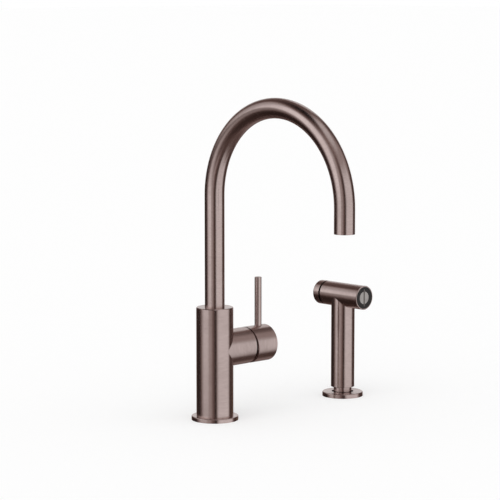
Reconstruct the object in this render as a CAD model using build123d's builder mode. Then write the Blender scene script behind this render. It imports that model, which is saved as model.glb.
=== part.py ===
from build123d import *
import math
import os

# Single-lever kitchen mixer with a separate side spray, in millimetres.
# The worktop is the plane z = 0. The mixer stands on the Z axis, its spout points to -Y and its
# lever side to +X. The side spray stands in its own rosette, further along +X.

# Clearances. Each is the gap on one side, between two radii or two flat faces.
running_gap = 0.08  # a turning or sliding fit
seated_gap = 0.03  # pieces screwed, pressed or soldered into each other
free_gap = 0.3  # pieces of different moving groups that only pass each other

# Mixer column, the branch that carries the lever, and the flange below them.
column_radius = 22.5
column_edge = 0.7
flange_radius = 28.5
flange_height = 5.0
flange_edge = 1.0
branch_radius = 22.45
branch_height = 85.5
branch_lip = 2.0
branch_edge = 0.5
branch_wall = 2.45

# Fixing to the worktop. The nuts are shown run up to a worktop of this thickness.
worktop_thickness = 30.0
shank_radius = 16.5
shank_bore_radius = 13.5
shank_depth = 62.0
shank_engagement = 15.0
seal_width = 4.0
seal_height = 1.6
washer_overhang = 8.5
rubber_washer_height = 3.0
steel_washer_height = 2.0
nut_height = 9.0
nut_wall = 5.5
nut_corner = 0.6
relief_height = 2.0
relief_depth = 0.8
shank_tip_length = 9.0

# Water ports under the body, reached through the shank.
port_height = 45.0
port_circle_radius = 7.8
port_radius = 4.5
port_depth = 12.0
riser_radius = 3.5
spray_riser_radius = 2.5
side_port_radius = 3.2

# Spout: one bent tube that swivels in the column.
tube_radius = 12.0
tube_wall = 1.25
arch_radius = 109.0
spout_rise = 136.0
outlet_leg = 28.5

# Spout swivel. The sleeve is soldered to the tube and turns in the column's bore.
sleeve_wall = 1.5
bore_floor_wall = 4.0
collar_step = 1.7
collar_height = 4.4
glide_ring_height = 4.0
thrust_ring_height = 1.2
sleeve_play = 0.9
sleeve_waterway_radius = 9.0
tube_seat_length = 7.0
o_ring_radius = 1.0
o_ring_room = 0.1
first_o_ring = 2.4
o_ring_pitch = 3.5
o_ring_count = 2
o_ring_land = 2.0
catch_land = 1.2
catch_groove_height = 3.0
catch_groove_depth = 1.5
catch_screw_radius = 2.5
catch_screw_sink = 1.0
catch_point_radius = 1.0

# Outlet fittings.
bush_wall = 1.55
bush_length = 16.0
bush_inset = 1.0
aerator_wall = 1.3
aerator_length = 10.5
aerator_inset = 0.6
aerator_key_width = 3.0
aerator_key_depth = 1.2
insert_inset = 0.8
stream_hole_radius = 0.75
stream_pitch = 2.45
aerator_washer_height = 2.0
aerator_washer_width = 2.0

# Cartridge in the branch. Places are measured along the branch from the mixer's axis.
cartridge_radius = 17.5
cartridge_seat = 12.0
cartridge_length = 24.0
base_plate_height = 5.0
inlet_port_side = 6.75
inlet_port_drop = 4.0
outlet_port_rise = 8.0
cartridge_port_radius = 3.0
port_seal_width = 1.6
port_seal_height = 1.5
disc_height = 4.0
moving_disc_flat = 9.4
moving_disc_height = 5.0
mixing_recess_depth = 1.2
mixing_recess_rise = 1.0
housing_wall = 2.8
housing_lip_height = 5.0
rotor_neck_radius = 11.0
rotor_rail_length = 3.6
ring_nut_height = 6.8
spanner_slots = 6
spanner_slot_width = 4.0
spanner_slot_depth = 2.5

# Lever: the stem tips on a pin in the rotor, and its ball pushes the moving disc.
lever_tilt = 22.0
pivot_depth = 6.7
pivot_pin_radius = 1.5
pivot_pin_inset = 0.5
pivot_offset = 7.8
stem_thickness = 6.0
stem_boss_radius = 4.2
stem_room = 2.0
ball_radius = 2.2
ball_clearance = 0.5
ball_arm_share = 0.75
hub_length = 35.6
hub_front_wall = 11.4
hub_seam_top = 1.4
hub_seam_slope = 0.089
hub_wall = 2.2
hub_edge = 1.2
dome_gap = 1.8
dome_thickness = 1.4
dome_foot_height = 1.6
rod_radius = 4.3
rod_inset = 13.3
rod_rise = 82.5
rod_socket_depth = 9.0
rod_edge = 0.5
grub_screw_radius = 2.5
grub_screw_length = 10.0
hex_key_width = 2.5
hex_key_depth = 3.0

# Diverter that sends the water to the spout or to the spray.
diverter_radius = 8.0
diverter_height = 18.0
diverter_wall = 2.4
diverter_hold = 1.5
diverter_lip = 1.6
diverter_lip_radius = 2.6
diverter_piston_height = 6.0
diverter_piston_start = 1.6
diverter_wire_radius = 0.4
diverter_coil_radius = 4.2
diverter_turns = 3

# Side spray: place, rosette and fixing.
spray_place = 222.0
rosette_radius = 26.0
rosette_height = 5.5
rosette_edge = 1.2
rosette_lip_width = 1.0
rosette_lip_height = 2.6
spray_shank_radius = 15.0
spray_shank_depth = 58.0
guide_wall = 1.75
guide_flange_height = 1.5
guide_shelf_width = 0.6
guide_depth = 24.0

# Handset: a grip with a head across its top.
grip_radius = 15.0
grip_foot = 12.0
grip_edge = 0.3
grip_collar_radius = 11.5
grip_waterway_radius = 6.0
neck_wall = 0.8
neck_end = 1.0
head_radius = 15.3
head_height = 130.5
head_front = 37.7
head_back = 27.2
head_edge = 0.4
head_wall = 3.1
head_bore_back = 14.0
face_rim = 1.2
face_recess_depth = 6.5
face_inset = 0.3
face_disc_radius = 8.0
face_rib_width = 2.0
face_rib_length = 21.6
face_rib_rise = 0.2
face_rib_depth = 1.6
face_nozzle_radius = 0.5
face_nozzle_depth = 1.0
face_nozzles = 16

# Swivelling hose connection in the grip's neck.
connector_thread_radius = 7.5
connector_shoulder_width = 0.8
connector_neck_step = 0.4
connector_bore_radius = 4.5
connector_top = 17.0
connector_shoulder = 4.6
connector_thread_top = -0.5
connector_thread_end = -9.0
connector_ring_place = 12.0
clip_height = 1.2
clip_width = 1.2
clip_mouth = 4.0
clip_place = 3.0

# Spray valve and its push button.
valve_front = -20.0
valve_length = 10.0
valve_seat_radius = 4.2
valve_stem_radius = 2.0
valve_seal_radius = 6.4
valve_seal_height = 2.4
valve_flange_radius = 4.6
valve_flange_height = 1.4
plug_wall = 2.0
plug_floor = 6.0
plug_step = 0.9
plug_neck_wall = 3.0
button_travel = 2.0
button_seam = 0.4
button_end = 40.0
button_roof = 3.2
button_edge = 2.0
button_neck_play = 0.8
button_boss_radius = 4.2
button_boss_length = 4.0
button_wire_radius = 0.45
button_coil_radius = 6.6
button_turns = 4

# Worked out from the sizes above.
flange_hole_radius = shank_radius + free_gap
seal_middle = (flange_radius + flange_hole_radius) / 2
hose_cavity_radius = shank_bore_radius + free_gap
spray_seal_middle = (rosette_radius + spray_shank_radius + seated_gap) / 2
nut_top = -worktop_thickness - rubber_washer_height - steel_washer_height
hub_radius = branch_radius
nut_bore_radius = branch_radius - branch_wall

tube_bore_radius = tube_radius - tube_wall
spout_reach = 2 * arch_radius
spout_bore_radius = tube_radius + sleeve_wall
spout_bore_floor = branch_height + cartridge_radius + bore_floor_wall
collar_radius = spout_bore_radius + collar_step
sleeve_foot = spout_bore_floor + thrust_ring_height + free_gap
sleeve_radius = spout_bore_radius - running_gap
last_o_ring = sleeve_foot + first_o_ring + (o_ring_count - 1) * o_ring_pitch
catch_height = last_o_ring + o_ring_radius + o_ring_room + o_ring_land + catch_groove_height / 2
tube_foot = catch_height + catch_groove_height / 2 + catch_land
sleeve_top = tube_foot + tube_seat_length
glide_ring_foot = sleeve_top + sleeve_play
collar_foot = glide_ring_foot + glide_ring_height
column_top = collar_foot + collar_height
arch_start = column_top + spout_rise
outlet_height = arch_start - outlet_leg
aerator_radius = tube_bore_radius - bush_wall
diverter_floor = spout_bore_floor - diverter_height

tilt = math.radians(lever_tilt)
disc_radius = cartridge_radius - housing_wall - free_gap
housing_bore_radius = cartridge_radius - housing_wall
disc_back = cartridge_seat + base_plate_height
moving_disc_back = disc_back + disc_height + seated_gap
moving_disc_front = moving_disc_back + moving_disc_height
moving_disc_radius = housing_bore_radius - pivot_offset * tilt - 3 * free_gap
rotor_back = moving_disc_front + free_gap
rotor_radius = housing_bore_radius - 3 * free_gap
pivot_place = rotor_back + pivot_depth
ball_place = pivot_place - pivot_offset
cartridge_front = disc_back + cartridge_length
ring_nut_front = cartridge_front + ring_nut_height
branch_reach = ring_nut_front + branch_lip
hub_end = branch_reach + hub_length
rod_place = hub_end - rod_inset
rod_top = branch_height + rod_rise
stem_end = hub_end - hub_front_wall
hub_lean = hub_radius * hub_seam_slope
hub_seam = branch_reach + hub_seam_top + hub_lean
dome_radius = math.hypot(hub_seam - hub_lean - pivot_place, hub_radius - hub_wall) - dome_gap
hub_cavity_floor = pivot_place + dome_radius + dome_gap
grub_screw_place = (hub_cavity_floor + stem_end) / 2

connector_radius = connector_thread_radius + connector_shoulder_width
connector_neck_radius = connector_thread_radius - connector_neck_step
clip_outer_radius = connector_radius + running_gap + clip_width
neck_radius = clip_outer_radius + seated_gap + neck_wall
guide_bore_radius = neck_radius + free_gap
guide_shelf_radius = neck_radius - guide_shelf_width
guide_radius = guide_bore_radius + guide_wall
spray_shank_bore_radius = guide_radius + seated_gap
spray_shank_top = rosette_height - rosette_lip_height - seated_gap
grip_collar_end = spray_shank_top + guide_flange_height + free_gap
rosette_hole_radius = spray_shank_radius - rosette_lip_width

face_recess_radius = head_radius - face_rim
face_nozzle_circle = (face_recess_radius + face_disc_radius) / 2
head_bore_radius = head_radius - head_wall
plug_radius = head_radius - plug_wall
plug_neck_radius = plug_radius - plug_step
plug_pocket_radius = plug_neck_radius - plug_neck_wall
button_start = head_back + button_travel + button_seam
button_floor = button_end - button_roof
plug_neck_end = button_floor - button_travel - button_neck_play


def stem_sweep(place):
    # How far from the branch's axis the tipped stem reaches, this far along the branch.
    return (place - pivot_place) * math.tan(tilt) + stem_thickness / 2 / math.cos(tilt)


rotor_slot_height = 2 * (stem_sweep(cartridge_front) + free_gap)
ring_nut_inner_radius = stem_sweep(ring_nut_front) + stem_room
dome_mouth_radius = stem_sweep(pivot_place + dome_radius) + stem_room / 2


def keep(piece, name):
    piece.part.label = name
    export_step(piece.part, f"parts/{name}.step")


def branch_plane(place):
    # Faces +X, with its own X along +Y and its own Y along +Z.
    return Plane(origin=(place, 0, branch_height), x_dir=(0, 1, 0), z_dir=(1, 0, 0))


def head_plane(place):
    # Faces +Y, with its own X along +X and its own Y along -Z.
    return Plane(origin=(spray_place, place, head_height), x_dir=(1, 0, 0), z_dir=(0, 1, 0))


def deck_plane(height, place=0.0):
    return Plane(origin=(place, 0, height))


def back_plane(place):
    # Faces +Y at the height of the screw that holds the spout down.
    return Plane(origin=(0, place, catch_height), x_dir=(1, 0, 0), z_dir=(0, 1, 0))


def ring(plane, outer, inner, height):
    with BuildPart() as piece:
        with BuildSketch(plane):
            Circle(outer)
            Circle(inner, mode=Mode.SUBTRACT)
        extrude(amount=height)
    return piece


def hex_nut(plane, across_corners_radius, inner, height):
    with BuildPart() as piece:
        with BuildSketch(plane):
            RegularPolygon(across_corners_radius, 6)
            Circle(inner, mode=Mode.SUBTRACT)
        extrude(amount=height)
        chamfer(piece.edges().filter_by(GeomType.LINE).filter_by(Axis.Z), nut_corner)
    return piece


def shank(place, outer, inner, top, depth):
    # A threaded tube. A groove parts its plain tip from the stretch that the nut runs on.
    with BuildPart() as piece:
        with BuildSketch(deck_plane(-depth, place)):
            Circle(outer)
            Circle(inner, mode=Mode.SUBTRACT)
        extrude(amount=depth + top)
        with BuildSketch(deck_plane(-depth + shank_tip_length, place)):
            Circle(2 * outer)
            Circle(outer - relief_depth, mode=Mode.SUBTRACT)
        extrude(amount=relief_height, mode=Mode.SUBTRACT)
    return piece


def coil(centre, direction, length, coil_radius, wire_radius, turns):
    # A compression spring of round wire, from centre along direction.
    base = Plane(origin=centre, z_dir=direction)
    path = Helix(pitch=length / turns, height=length, radius=coil_radius)
    path = base.from_local_coords(path)
    with BuildPart() as piece:
        with BuildSketch(Plane(origin=path @ 0, z_dir=path % 0)):
            RegularPolygon(wire_radius, 8)
        sweep(path=path, is_frenet=True)
    return piece


os.makedirs("parts", exist_ok=True)

# ---- Mixer: worktop fixing ----

mixer_seal = ring(deck_plane(0), seal_middle + seal_width / 2, seal_middle - seal_width / 2, seal_height)
keep(mixer_seal, "mixer_deck_seal")

with BuildPart() as base_flange:
    with BuildSketch(deck_plane(0)):
        Circle(flange_radius)
        Circle(flange_hole_radius, mode=Mode.SUBTRACT)
    extrude(amount=flange_height)
    rim = base_flange.edges().filter_by(GeomType.CIRCLE).group_by(Axis.Z)[-1].sort_by(SortBy.RADIUS)[-1]
    fillet(rim, flange_edge)
    with BuildSketch(deck_plane(0)):
        Circle(seal_middle + seal_width / 2 + seated_gap)
        Circle(seal_middle - seal_width / 2 - seated_gap, mode=Mode.SUBTRACT)
    extrude(amount=seal_height + seated_gap, mode=Mode.SUBTRACT)
keep(base_flange, "base_flange")

mixer_shank = shank(0, shank_radius, shank_bore_radius, flange_height + shank_engagement, shank_depth)
keep(mixer_shank, "mixer_shank")

mixer_rubber_washer = ring(
    deck_plane(-worktop_thickness - rubber_washer_height),
    shank_radius + washer_overhang,
    shank_radius + free_gap,
    rubber_washer_height,
)
keep(mixer_rubber_washer, "mixer_rubber_washer")

mixer_steel_washer = ring(
    deck_plane(nut_top), shank_radius + washer_overhang, shank_radius + free_gap, steel_washer_height
)
keep(mixer_steel_washer, "mixer_steel_washer")

mixer_nut = hex_nut(
    deck_plane(nut_top - nut_height), shank_radius + nut_wall, shank_radius + seated_gap, nut_height
)
keep(mixer_nut, "mixer_fixing_nut")

# ---- Mixer: body ----

with BuildPart() as mixer_body:
    with BuildSketch(deck_plane(flange_height)):
        Circle(column_radius)
    extrude(amount=column_top - flange_height)
    chamfer(mixer_body.edges().filter_by(GeomType.CIRCLE).sort_by(Axis.Z)[-1], column_edge)
    with BuildSketch(branch_plane(0)):
        Circle(branch_radius)
    extrude(amount=branch_reach)
    chamfer(mixer_body.edges().filter_by(GeomType.CIRCLE).sort_by(Axis.X)[-1], branch_edge)

    # Spout bore, the wider thread of its collar, and the diverter's bore below it.
    with BuildSketch(deck_plane(spout_bore_floor)):
        Circle(spout_bore_radius)
    extrude(amount=column_top - spout_bore_floor, mode=Mode.SUBTRACT)
    with BuildSketch(deck_plane(collar_foot)):
        Circle(collar_radius)
    extrude(amount=collar_height, mode=Mode.SUBTRACT)
    with BuildSketch(deck_plane(diverter_floor)):
        Circle(diverter_radius + seated_gap)
    extrude(amount=spout_bore_floor - diverter_floor, mode=Mode.SUBTRACT)

    # Cartridge chamber and the wider thread of its ring nut.
    with BuildSketch(branch_plane(cartridge_seat)):
        Circle(cartridge_radius + seated_gap)
    extrude(amount=branch_reach - cartridge_seat, mode=Mode.SUBTRACT)
    with BuildSketch(branch_plane(cartridge_front)):
        Circle(nut_bore_radius)
    extrude(amount=branch_reach - cartridge_front, mode=Mode.SUBTRACT)

    # Thread of the shank and the cavity where the hoses meet their ports.
    with BuildSketch(deck_plane(flange_height)):
        Circle(shank_radius + seated_gap)
    extrude(amount=shank_engagement + seated_gap, mode=Mode.SUBTRACT)
    with BuildSketch(deck_plane(flange_height)):
        Circle(hose_cavity_radius)
    extrude(amount=port_height - flange_height, mode=Mode.SUBTRACT)

    # Hot, cold and spray ports with the drillings above them.
    inlet_place = port_circle_radius * math.cos(math.radians(60))
    port_places = [(inlet_place, inlet_port_side), (inlet_place, -inlet_port_side), (-port_circle_radius, 0)]
    with BuildSketch(deck_plane(port_height)):
        with Locations(*port_places):
            Circle(port_radius)
    extrude(amount=port_depth, mode=Mode.SUBTRACT)
    with BuildSketch(deck_plane(port_height)):
        with Locations(*port_places[:2]):
            Circle(riser_radius)
    extrude(amount=branch_height - inlet_port_drop + riser_radius - port_height, mode=Mode.SUBTRACT)
    with BuildSketch(deck_plane(port_height)):
        with Locations(port_places[2]):
            Circle(spray_riser_radius)
    extrude(amount=diverter_floor - port_height, mode=Mode.SUBTRACT)
    with BuildSketch(branch_plane(cartridge_seat)):
        with Locations((inlet_port_side, -inlet_port_drop), (-inlet_port_side, -inlet_port_drop)):
            Circle(side_port_radius)
    extrude(amount=inlet_place - cartridge_seat, mode=Mode.SUBTRACT)
    with BuildSketch(branch_plane(cartridge_seat)):
        with Locations((0, outlet_port_rise)):
            Circle(side_port_radius)
    extrude(amount=diverter_radius / 2 - cartridge_seat, mode=Mode.SUBTRACT)

    # Tapped hole at the back for the screw that holds the spout down.
    with BuildSketch(back_plane(column_radius)):
        Circle(catch_screw_radius + seated_gap)
    extrude(amount=spout_bore_radius - column_radius - catch_screw_radius, mode=Mode.SUBTRACT)
keep(mixer_body, "mixer_body")

# ---- Mixer: spout ----

with BuildPart() as spout_tube:
    with BuildSketch(deck_plane(tube_foot)):
        Circle(tube_radius)
        Circle(tube_bore_radius, mode=Mode.SUBTRACT)
    extrude(amount=arch_start - tube_foot)
    with BuildSketch(deck_plane(arch_start)):
        Circle(tube_radius)
        Circle(tube_bore_radius, mode=Mode.SUBTRACT)
    revolve(axis=Axis((0, -arch_radius, arch_start), (1, 0, 0)), revolution_arc=180)
    with BuildSketch(Plane(origin=(0, -spout_reach, outlet_height))):
        Circle(tube_radius)
        Circle(tube_bore_radius, mode=Mode.SUBTRACT)
    extrude(amount=arch_start - outlet_height)
keep(spout_tube, "spout_tube")

o_ring_heights = [sleeve_foot + first_o_ring + step * o_ring_pitch for step in range(o_ring_count)]
o_ring_centre_radius = sleeve_radius - o_ring_radius
o_ring_groove_floor = o_ring_centre_radius - o_ring_radius - o_ring_room

with BuildPart() as spout_sleeve:
    with BuildSketch(deck_plane(sleeve_foot)):
        Circle(sleeve_radius)
        Circle(sleeve_waterway_radius, mode=Mode.SUBTRACT)
    extrude(amount=sleeve_top - sleeve_foot)
    with BuildSketch(deck_plane(tube_foot)):
        Circle(tube_radius + seated_gap)
    extrude(amount=tube_seat_length, mode=Mode.SUBTRACT)
    for height in o_ring_heights:
        with BuildSketch(deck_plane(height - o_ring_radius - o_ring_room)):
            Circle(2 * sleeve_radius)
            Circle(o_ring_groove_floor, mode=Mode.SUBTRACT)
        extrude(amount=2 * (o_ring_radius + o_ring_room), mode=Mode.SUBTRACT)
    with BuildSketch(deck_plane(catch_height - catch_groove_height / 2)):
        Circle(2 * sleeve_radius)
        Circle(sleeve_radius - catch_groove_depth, mode=Mode.SUBTRACT)
    extrude(amount=catch_groove_height, mode=Mode.SUBTRACT)
keep(spout_sleeve, "spout_sleeve")

with BuildPart() as spout_o_rings:
    for height in o_ring_heights:
        with BuildSketch(Plane.XZ):
            with Locations((o_ring_centre_radius, height)):
                Circle(o_ring_radius)
        revolve(axis=Axis.Z)
keep(spout_o_rings, "spout_o_rings")

thrust_ring = ring(
    deck_plane(spout_bore_floor),
    spout_bore_radius - seated_gap,
    diverter_radius - diverter_hold,
    thrust_ring_height,
)
keep(thrust_ring, "spout_thrust_ring")

glide_ring = ring(
    deck_plane(glide_ring_foot),
    spout_bore_radius - seated_gap,
    tube_radius + running_gap,
    glide_ring_height,
)
keep(glide_ring, "spout_glide_ring")

spout_collar = ring(deck_plane(collar_foot), collar_radius - seated_gap, tube_radius + free_gap, collar_height)
keep(spout_collar, "spout_collar")

catch_tip = sleeve_radius - catch_groove_depth + free_gap
catch_shoulder = spout_bore_radius + free_gap
catch_head = column_radius - catch_screw_sink
with BuildPart() as catch_screw:
    with BuildSketch(back_plane(catch_shoulder)):
        Circle(catch_screw_radius)
    extrude(amount=catch_head - catch_shoulder)
    with BuildSketch(back_plane(catch_tip)):
        Circle(catch_point_radius)
    extrude(amount=catch_shoulder - catch_tip)
    with BuildSketch(back_plane(catch_head)):
        RegularPolygon(hex_key_width / math.sqrt(3), 6)
    extrude(amount=-hex_key_depth, mode=Mode.SUBTRACT)
keep(catch_screw, "spout_catch_screw")

# ---- Mixer: outlet ----


def outlet_plane(height):
    return Plane(origin=(0, -spout_reach, outlet_height + height))


outlet_bush = ring(
    outlet_plane(bush_inset), tube_bore_radius - seated_gap, aerator_radius + seated_gap, bush_length
)
keep(outlet_bush, "outlet_bush")

with BuildPart() as aerator_housing:
    with BuildSketch(outlet_plane(aerator_inset)):
        Circle(aerator_radius)
        Circle(aerator_radius - aerator_wall, mode=Mode.SUBTRACT)
    extrude(amount=aerator_length)
    with BuildSketch(outlet_plane(aerator_inset)):
        with PolarLocations(aerator_radius, 4):
            Rectangle(3 * aerator_wall, aerator_key_width)
    extrude(amount=aerator_key_depth, mode=Mode.SUBTRACT)
keep(aerator_housing, "aerator_housing")

insert_radius = aerator_radius - aerator_wall - seated_gap
stream_circles = int((insert_radius - 2 * stream_hole_radius) / stream_pitch)
with BuildPart() as aerator_insert:
    with BuildSketch(outlet_plane(aerator_inset + insert_inset)):
        Circle(insert_radius)
        Circle(stream_hole_radius, mode=Mode.SUBTRACT)
        for circle in range(1, stream_circles + 1):
            with PolarLocations(circle * stream_pitch, 6 * circle):
                Circle(stream_hole_radius, mode=Mode.SUBTRACT)
    extrude(amount=aerator_length - insert_inset)
keep(aerator_insert, "aerator_insert")

aerator_washer = ring(
    outlet_plane(aerator_inset + aerator_length),
    aerator_radius - seated_gap,
    aerator_radius - aerator_washer_width,
    aerator_washer_height,
)
keep(aerator_washer, "aerator_washer")

# ---- Mixer: cartridge ----

port_spots = [
    (inlet_port_side, -inlet_port_drop),
    (-inlet_port_side, -inlet_port_drop),
    (0, outlet_port_rise),
]
port_seal_radius = cartridge_port_radius + port_seal_width

with BuildPart() as cartridge_base:
    with BuildSketch(branch_plane(cartridge_seat)):
        Circle(cartridge_radius)
        with Locations(*port_spots):
            Circle(cartridge_port_radius, mode=Mode.SUBTRACT)
    extrude(amount=base_plate_height)
    with BuildSketch(branch_plane(cartridge_seat)):
        with Locations(*port_spots):
            Circle(port_seal_radius + seated_gap)
    extrude(amount=port_seal_height + seated_gap, mode=Mode.SUBTRACT)
keep(cartridge_base, "cartridge_base")

with BuildPart() as port_seals:
    with BuildSketch(branch_plane(cartridge_seat)):
        with Locations(*port_spots):
            Circle(port_seal_radius)
            Circle(cartridge_port_radius, mode=Mode.SUBTRACT)
    extrude(amount=port_seal_height)
keep(port_seals, "port_seals")

with BuildPart() as fixed_disc:
    with BuildSketch(branch_plane(disc_back)):
        Circle(disc_radius)
        with Locations(*port_spots):
            Circle(cartridge_port_radius, mode=Mode.SUBTRACT)
    extrude(amount=disc_height)
keep(fixed_disc, "fixed_ceramic_disc")

with BuildPart() as moving_disc:
    with BuildSketch(branch_plane(moving_disc_back)):
        Circle(moving_disc_radius)
        Rectangle(2 * moving_disc_flat, 3 * moving_disc_radius, mode=Mode.INTERSECT)
    extrude(amount=moving_disc_height)
    with BuildSketch(branch_plane(moving_disc_back)):
        with Locations((0, mixing_recess_rise)):
            SlotOverall(moving_disc_radius, 2 * cartridge_port_radius, rotation=90)
    extrude(amount=mixing_recess_depth, mode=Mode.SUBTRACT)
    with BuildSketch(branch_plane(ball_place - ball_radius - ball_clearance)):
        Circle(ball_radius + ball_clearance)
    extrude(amount=moving_disc_height, mode=Mode.SUBTRACT)
keep(moving_disc, "moving_ceramic_disc")

with BuildPart() as cartridge_housing:
    with BuildSketch(branch_plane(disc_back)):
        Circle(cartridge_radius)
        Circle(housing_bore_radius, mode=Mode.SUBTRACT)
    extrude(amount=cartridge_length)
    with BuildSketch(branch_plane(cartridge_front)):
        Circle(cartridge_radius)
        Circle(rotor_neck_radius + running_gap, mode=Mode.SUBTRACT)
    extrude(amount=-housing_lip_height)
keep(cartridge_housing, "cartridge_housing")

rotor_shoulder = cartridge_front - housing_lip_height - free_gap
with BuildPart() as rotor:
    with BuildSketch(branch_plane(rotor_back)):
        Circle(rotor_radius)
    extrude(amount=rotor_shoulder - rotor_back)
    with BuildSketch(branch_plane(rotor_back)):
        Circle(rotor_neck_radius)
    extrude(amount=cartridge_front - rotor_back)
    # Two rails carry the moving disc round and let it slide between them.
    with BuildSketch(branch_plane(rotor_back)):
        Circle(rotor_radius)
        Rectangle(2 * (moving_disc_flat + free_gap), 3 * rotor_radius, mode=Mode.SUBTRACT)
    extrude(amount=-rotor_rail_length)
    with BuildSketch(branch_plane(cartridge_front)):
        Rectangle(stem_thickness + 2 * free_gap, rotor_slot_height)
    extrude(amount=rotor_back - cartridge_front - rotor_rail_length, mode=Mode.SUBTRACT)
    with BuildSketch(Plane.XZ):
        with Locations((pivot_place, branch_height)):
            Circle(pivot_pin_radius + seated_gap)
    extrude(amount=2 * rotor_radius, both=True, mode=Mode.SUBTRACT)
keep(rotor, "cartridge_rotor")

with BuildPart() as pivot_pin:
    with BuildSketch(Plane.XZ):
        with Locations((pivot_place, branch_height)):
            Circle(pivot_pin_radius)
    extrude(amount=rotor_neck_radius - pivot_pin_inset, both=True)
keep(pivot_pin, "lever_pivot_pin")

with BuildPart() as lever_stem:
    with BuildSketch(Plane.XZ):
        with Locations((pivot_place, branch_height)):
            Circle(stem_boss_radius)
        with Locations(((pivot_place + stem_end) / 2, branch_height)):
            Rectangle(stem_end - pivot_place, stem_thickness)
    extrude(amount=stem_thickness / 2, both=True)
    with BuildSketch(branch_plane(ball_place)):
        Circle(ball_arm_share * ball_radius)
    extrude(amount=pivot_offset)
    with Locations((ball_place, 0, branch_height)):
        Sphere(ball_radius)
    with BuildSketch(Plane.XZ):
        with Locations((pivot_place, branch_height)):
            Circle(pivot_pin_radius + running_gap)
    extrude(amount=stem_thickness, both=True, mode=Mode.SUBTRACT)
keep(lever_stem, "lever_stem")

with BuildPart() as ring_nut:
    with BuildSketch(branch_plane(cartridge_front)):
        Circle(nut_bore_radius - seated_gap)
        Circle(ring_nut_inner_radius, mode=Mode.SUBTRACT)
    extrude(amount=ring_nut_height)
    with BuildSketch(branch_plane(ring_nut_front)):
        with PolarLocations(ring_nut_inner_radius, spanner_slots):
            Rectangle(2 * spanner_slot_depth, spanner_slot_width)
    extrude(amount=-spanner_slot_depth, mode=Mode.SUBTRACT)
keep(ring_nut, "cartridge_ring_nut")

# The dome is part of a sphere about the lever's pivot, so the hub swings over it.
dome_foot_radius = nut_bore_radius - free_gap
dome_start = ring_nut_front + dome_foot_height - pivot_place
dome_start_radius = math.sqrt(dome_radius**2 - dome_start**2)
dome_mouth = math.sqrt(dome_radius**2 - dome_mouth_radius**2)
inner_dome_radius = dome_radius - dome_thickness
inner_dome_start_radius = math.sqrt(inner_dome_radius**2 - dome_start**2)
inner_dome_mouth = math.sqrt(inner_dome_radius**2 - dome_mouth_radius**2)


def dome_point(radius, along, across):
    # The point half way along a sphere's arc between two points given as (along, across).
    angle = (math.atan2(across[0], along[0]) + math.atan2(across[1], along[1])) / 2
    return (pivot_place + radius * math.cos(angle), branch_height + radius * math.sin(angle))


with BuildPart() as branch_dome:
    with BuildSketch(Plane.XZ):
        with BuildLine():
            foot = (ring_nut_front, branch_height + dome_foot_radius)
            foot_top = (pivot_place + dome_start, branch_height + dome_foot_radius)
            outer_start = (pivot_place + dome_start, branch_height + dome_start_radius)
            outer_mouth = (pivot_place + dome_mouth, branch_height + dome_mouth_radius)
            inner_mouth = (pivot_place + inner_dome_mouth, branch_height + dome_mouth_radius)
            inner_start = (pivot_place + dome_start, branch_height + inner_dome_start_radius)
            inner_foot = (ring_nut_front, branch_height + inner_dome_start_radius)
            middle = dome_point(
                dome_radius, (dome_start, dome_mouth), (dome_start_radius, dome_mouth_radius)
            )
            inner_middle = dome_point(
                inner_dome_radius, (dome_start, inner_dome_mouth), (inner_dome_start_radius, dome_mouth_radius)
            )
            Polyline(foot, foot_top, outer_start)
            ThreePointArc(outer_start, middle, outer_mouth)
            Line(outer_mouth, inner_mouth)
            ThreePointArc(inner_mouth, inner_middle, inner_start)
            Polyline(inner_start, inner_foot, foot)
        make_face()
    revolve(axis=Axis((0, 0, branch_height), (1, 0, 0)))
keep(branch_dome, "branch_dome")

# ---- Mixer: lever ----

with BuildPart() as lever_hub:
    # The seam leans, so that the gap under the branch is open when the lever stands upright.
    with BuildSketch(Plane.XZ):
        with BuildLine():
            Polyline(
                (hub_seam, branch_height),
                (hub_seam - hub_lean, branch_height + hub_radius),
                (hub_end - hub_edge, branch_height + hub_radius),
                (hub_end, branch_height + hub_radius - hub_edge),
                (hub_end, branch_height),
                close=True,
            )
        make_face()
    revolve(axis=Axis((0, 0, branch_height), (1, 0, 0)))
    with BuildSketch(Plane.XZ):
        with BuildLine():
            Polyline(
                (hub_seam - 2 * hub_lean, branch_height + 2 * hub_radius),
                (hub_seam + 2 * hub_lean, branch_height - 2 * hub_radius),
                (branch_reach - 2 * hub_lean, branch_height - 2 * hub_radius),
                (branch_reach - 2 * hub_lean, branch_height + 2 * hub_radius),
                close=True,
            )
        make_face()
    extrude(amount=2 * hub_radius, both=True, mode=Mode.SUBTRACT)
    with BuildSketch(branch_plane(branch_reach)):
        Circle(hub_radius - hub_wall)
    extrude(amount=hub_cavity_floor - branch_reach, mode=Mode.SUBTRACT)
    # Square socket for the stem, round socket for the rod and the clamping screw's hole.
    with BuildSketch(branch_plane(hub_cavity_floor)):
        Rectangle(stem_thickness + 2 * seated_gap, stem_thickness + 2 * seated_gap)
    extrude(amount=stem_end + seated_gap - hub_cavity_floor, mode=Mode.SUBTRACT)
    with BuildSketch(deck_plane(branch_height + hub_radius - rod_socket_depth, rod_place)):
        Circle(rod_radius + seated_gap)
    extrude(amount=2 * rod_socket_depth, mode=Mode.SUBTRACT)
    with BuildSketch(deck_plane(branch_height - stem_thickness / 2, grub_screw_place)):
        Circle(grub_screw_radius + seated_gap)
    extrude(amount=-hub_radius, mode=Mode.SUBTRACT)
keep(lever_hub, "lever_hub")

with BuildPart() as lever_rod:
    rod_foot = branch_height + hub_radius - rod_socket_depth
    with BuildSketch(deck_plane(rod_foot, rod_place)):
        Circle(rod_radius)
    extrude(amount=rod_top - rod_foot)
    fillet(lever_rod.edges().filter_by(GeomType.CIRCLE).sort_by(Axis.Z)[-1], rod_edge)
keep(lever_rod, "lever_rod")

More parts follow.
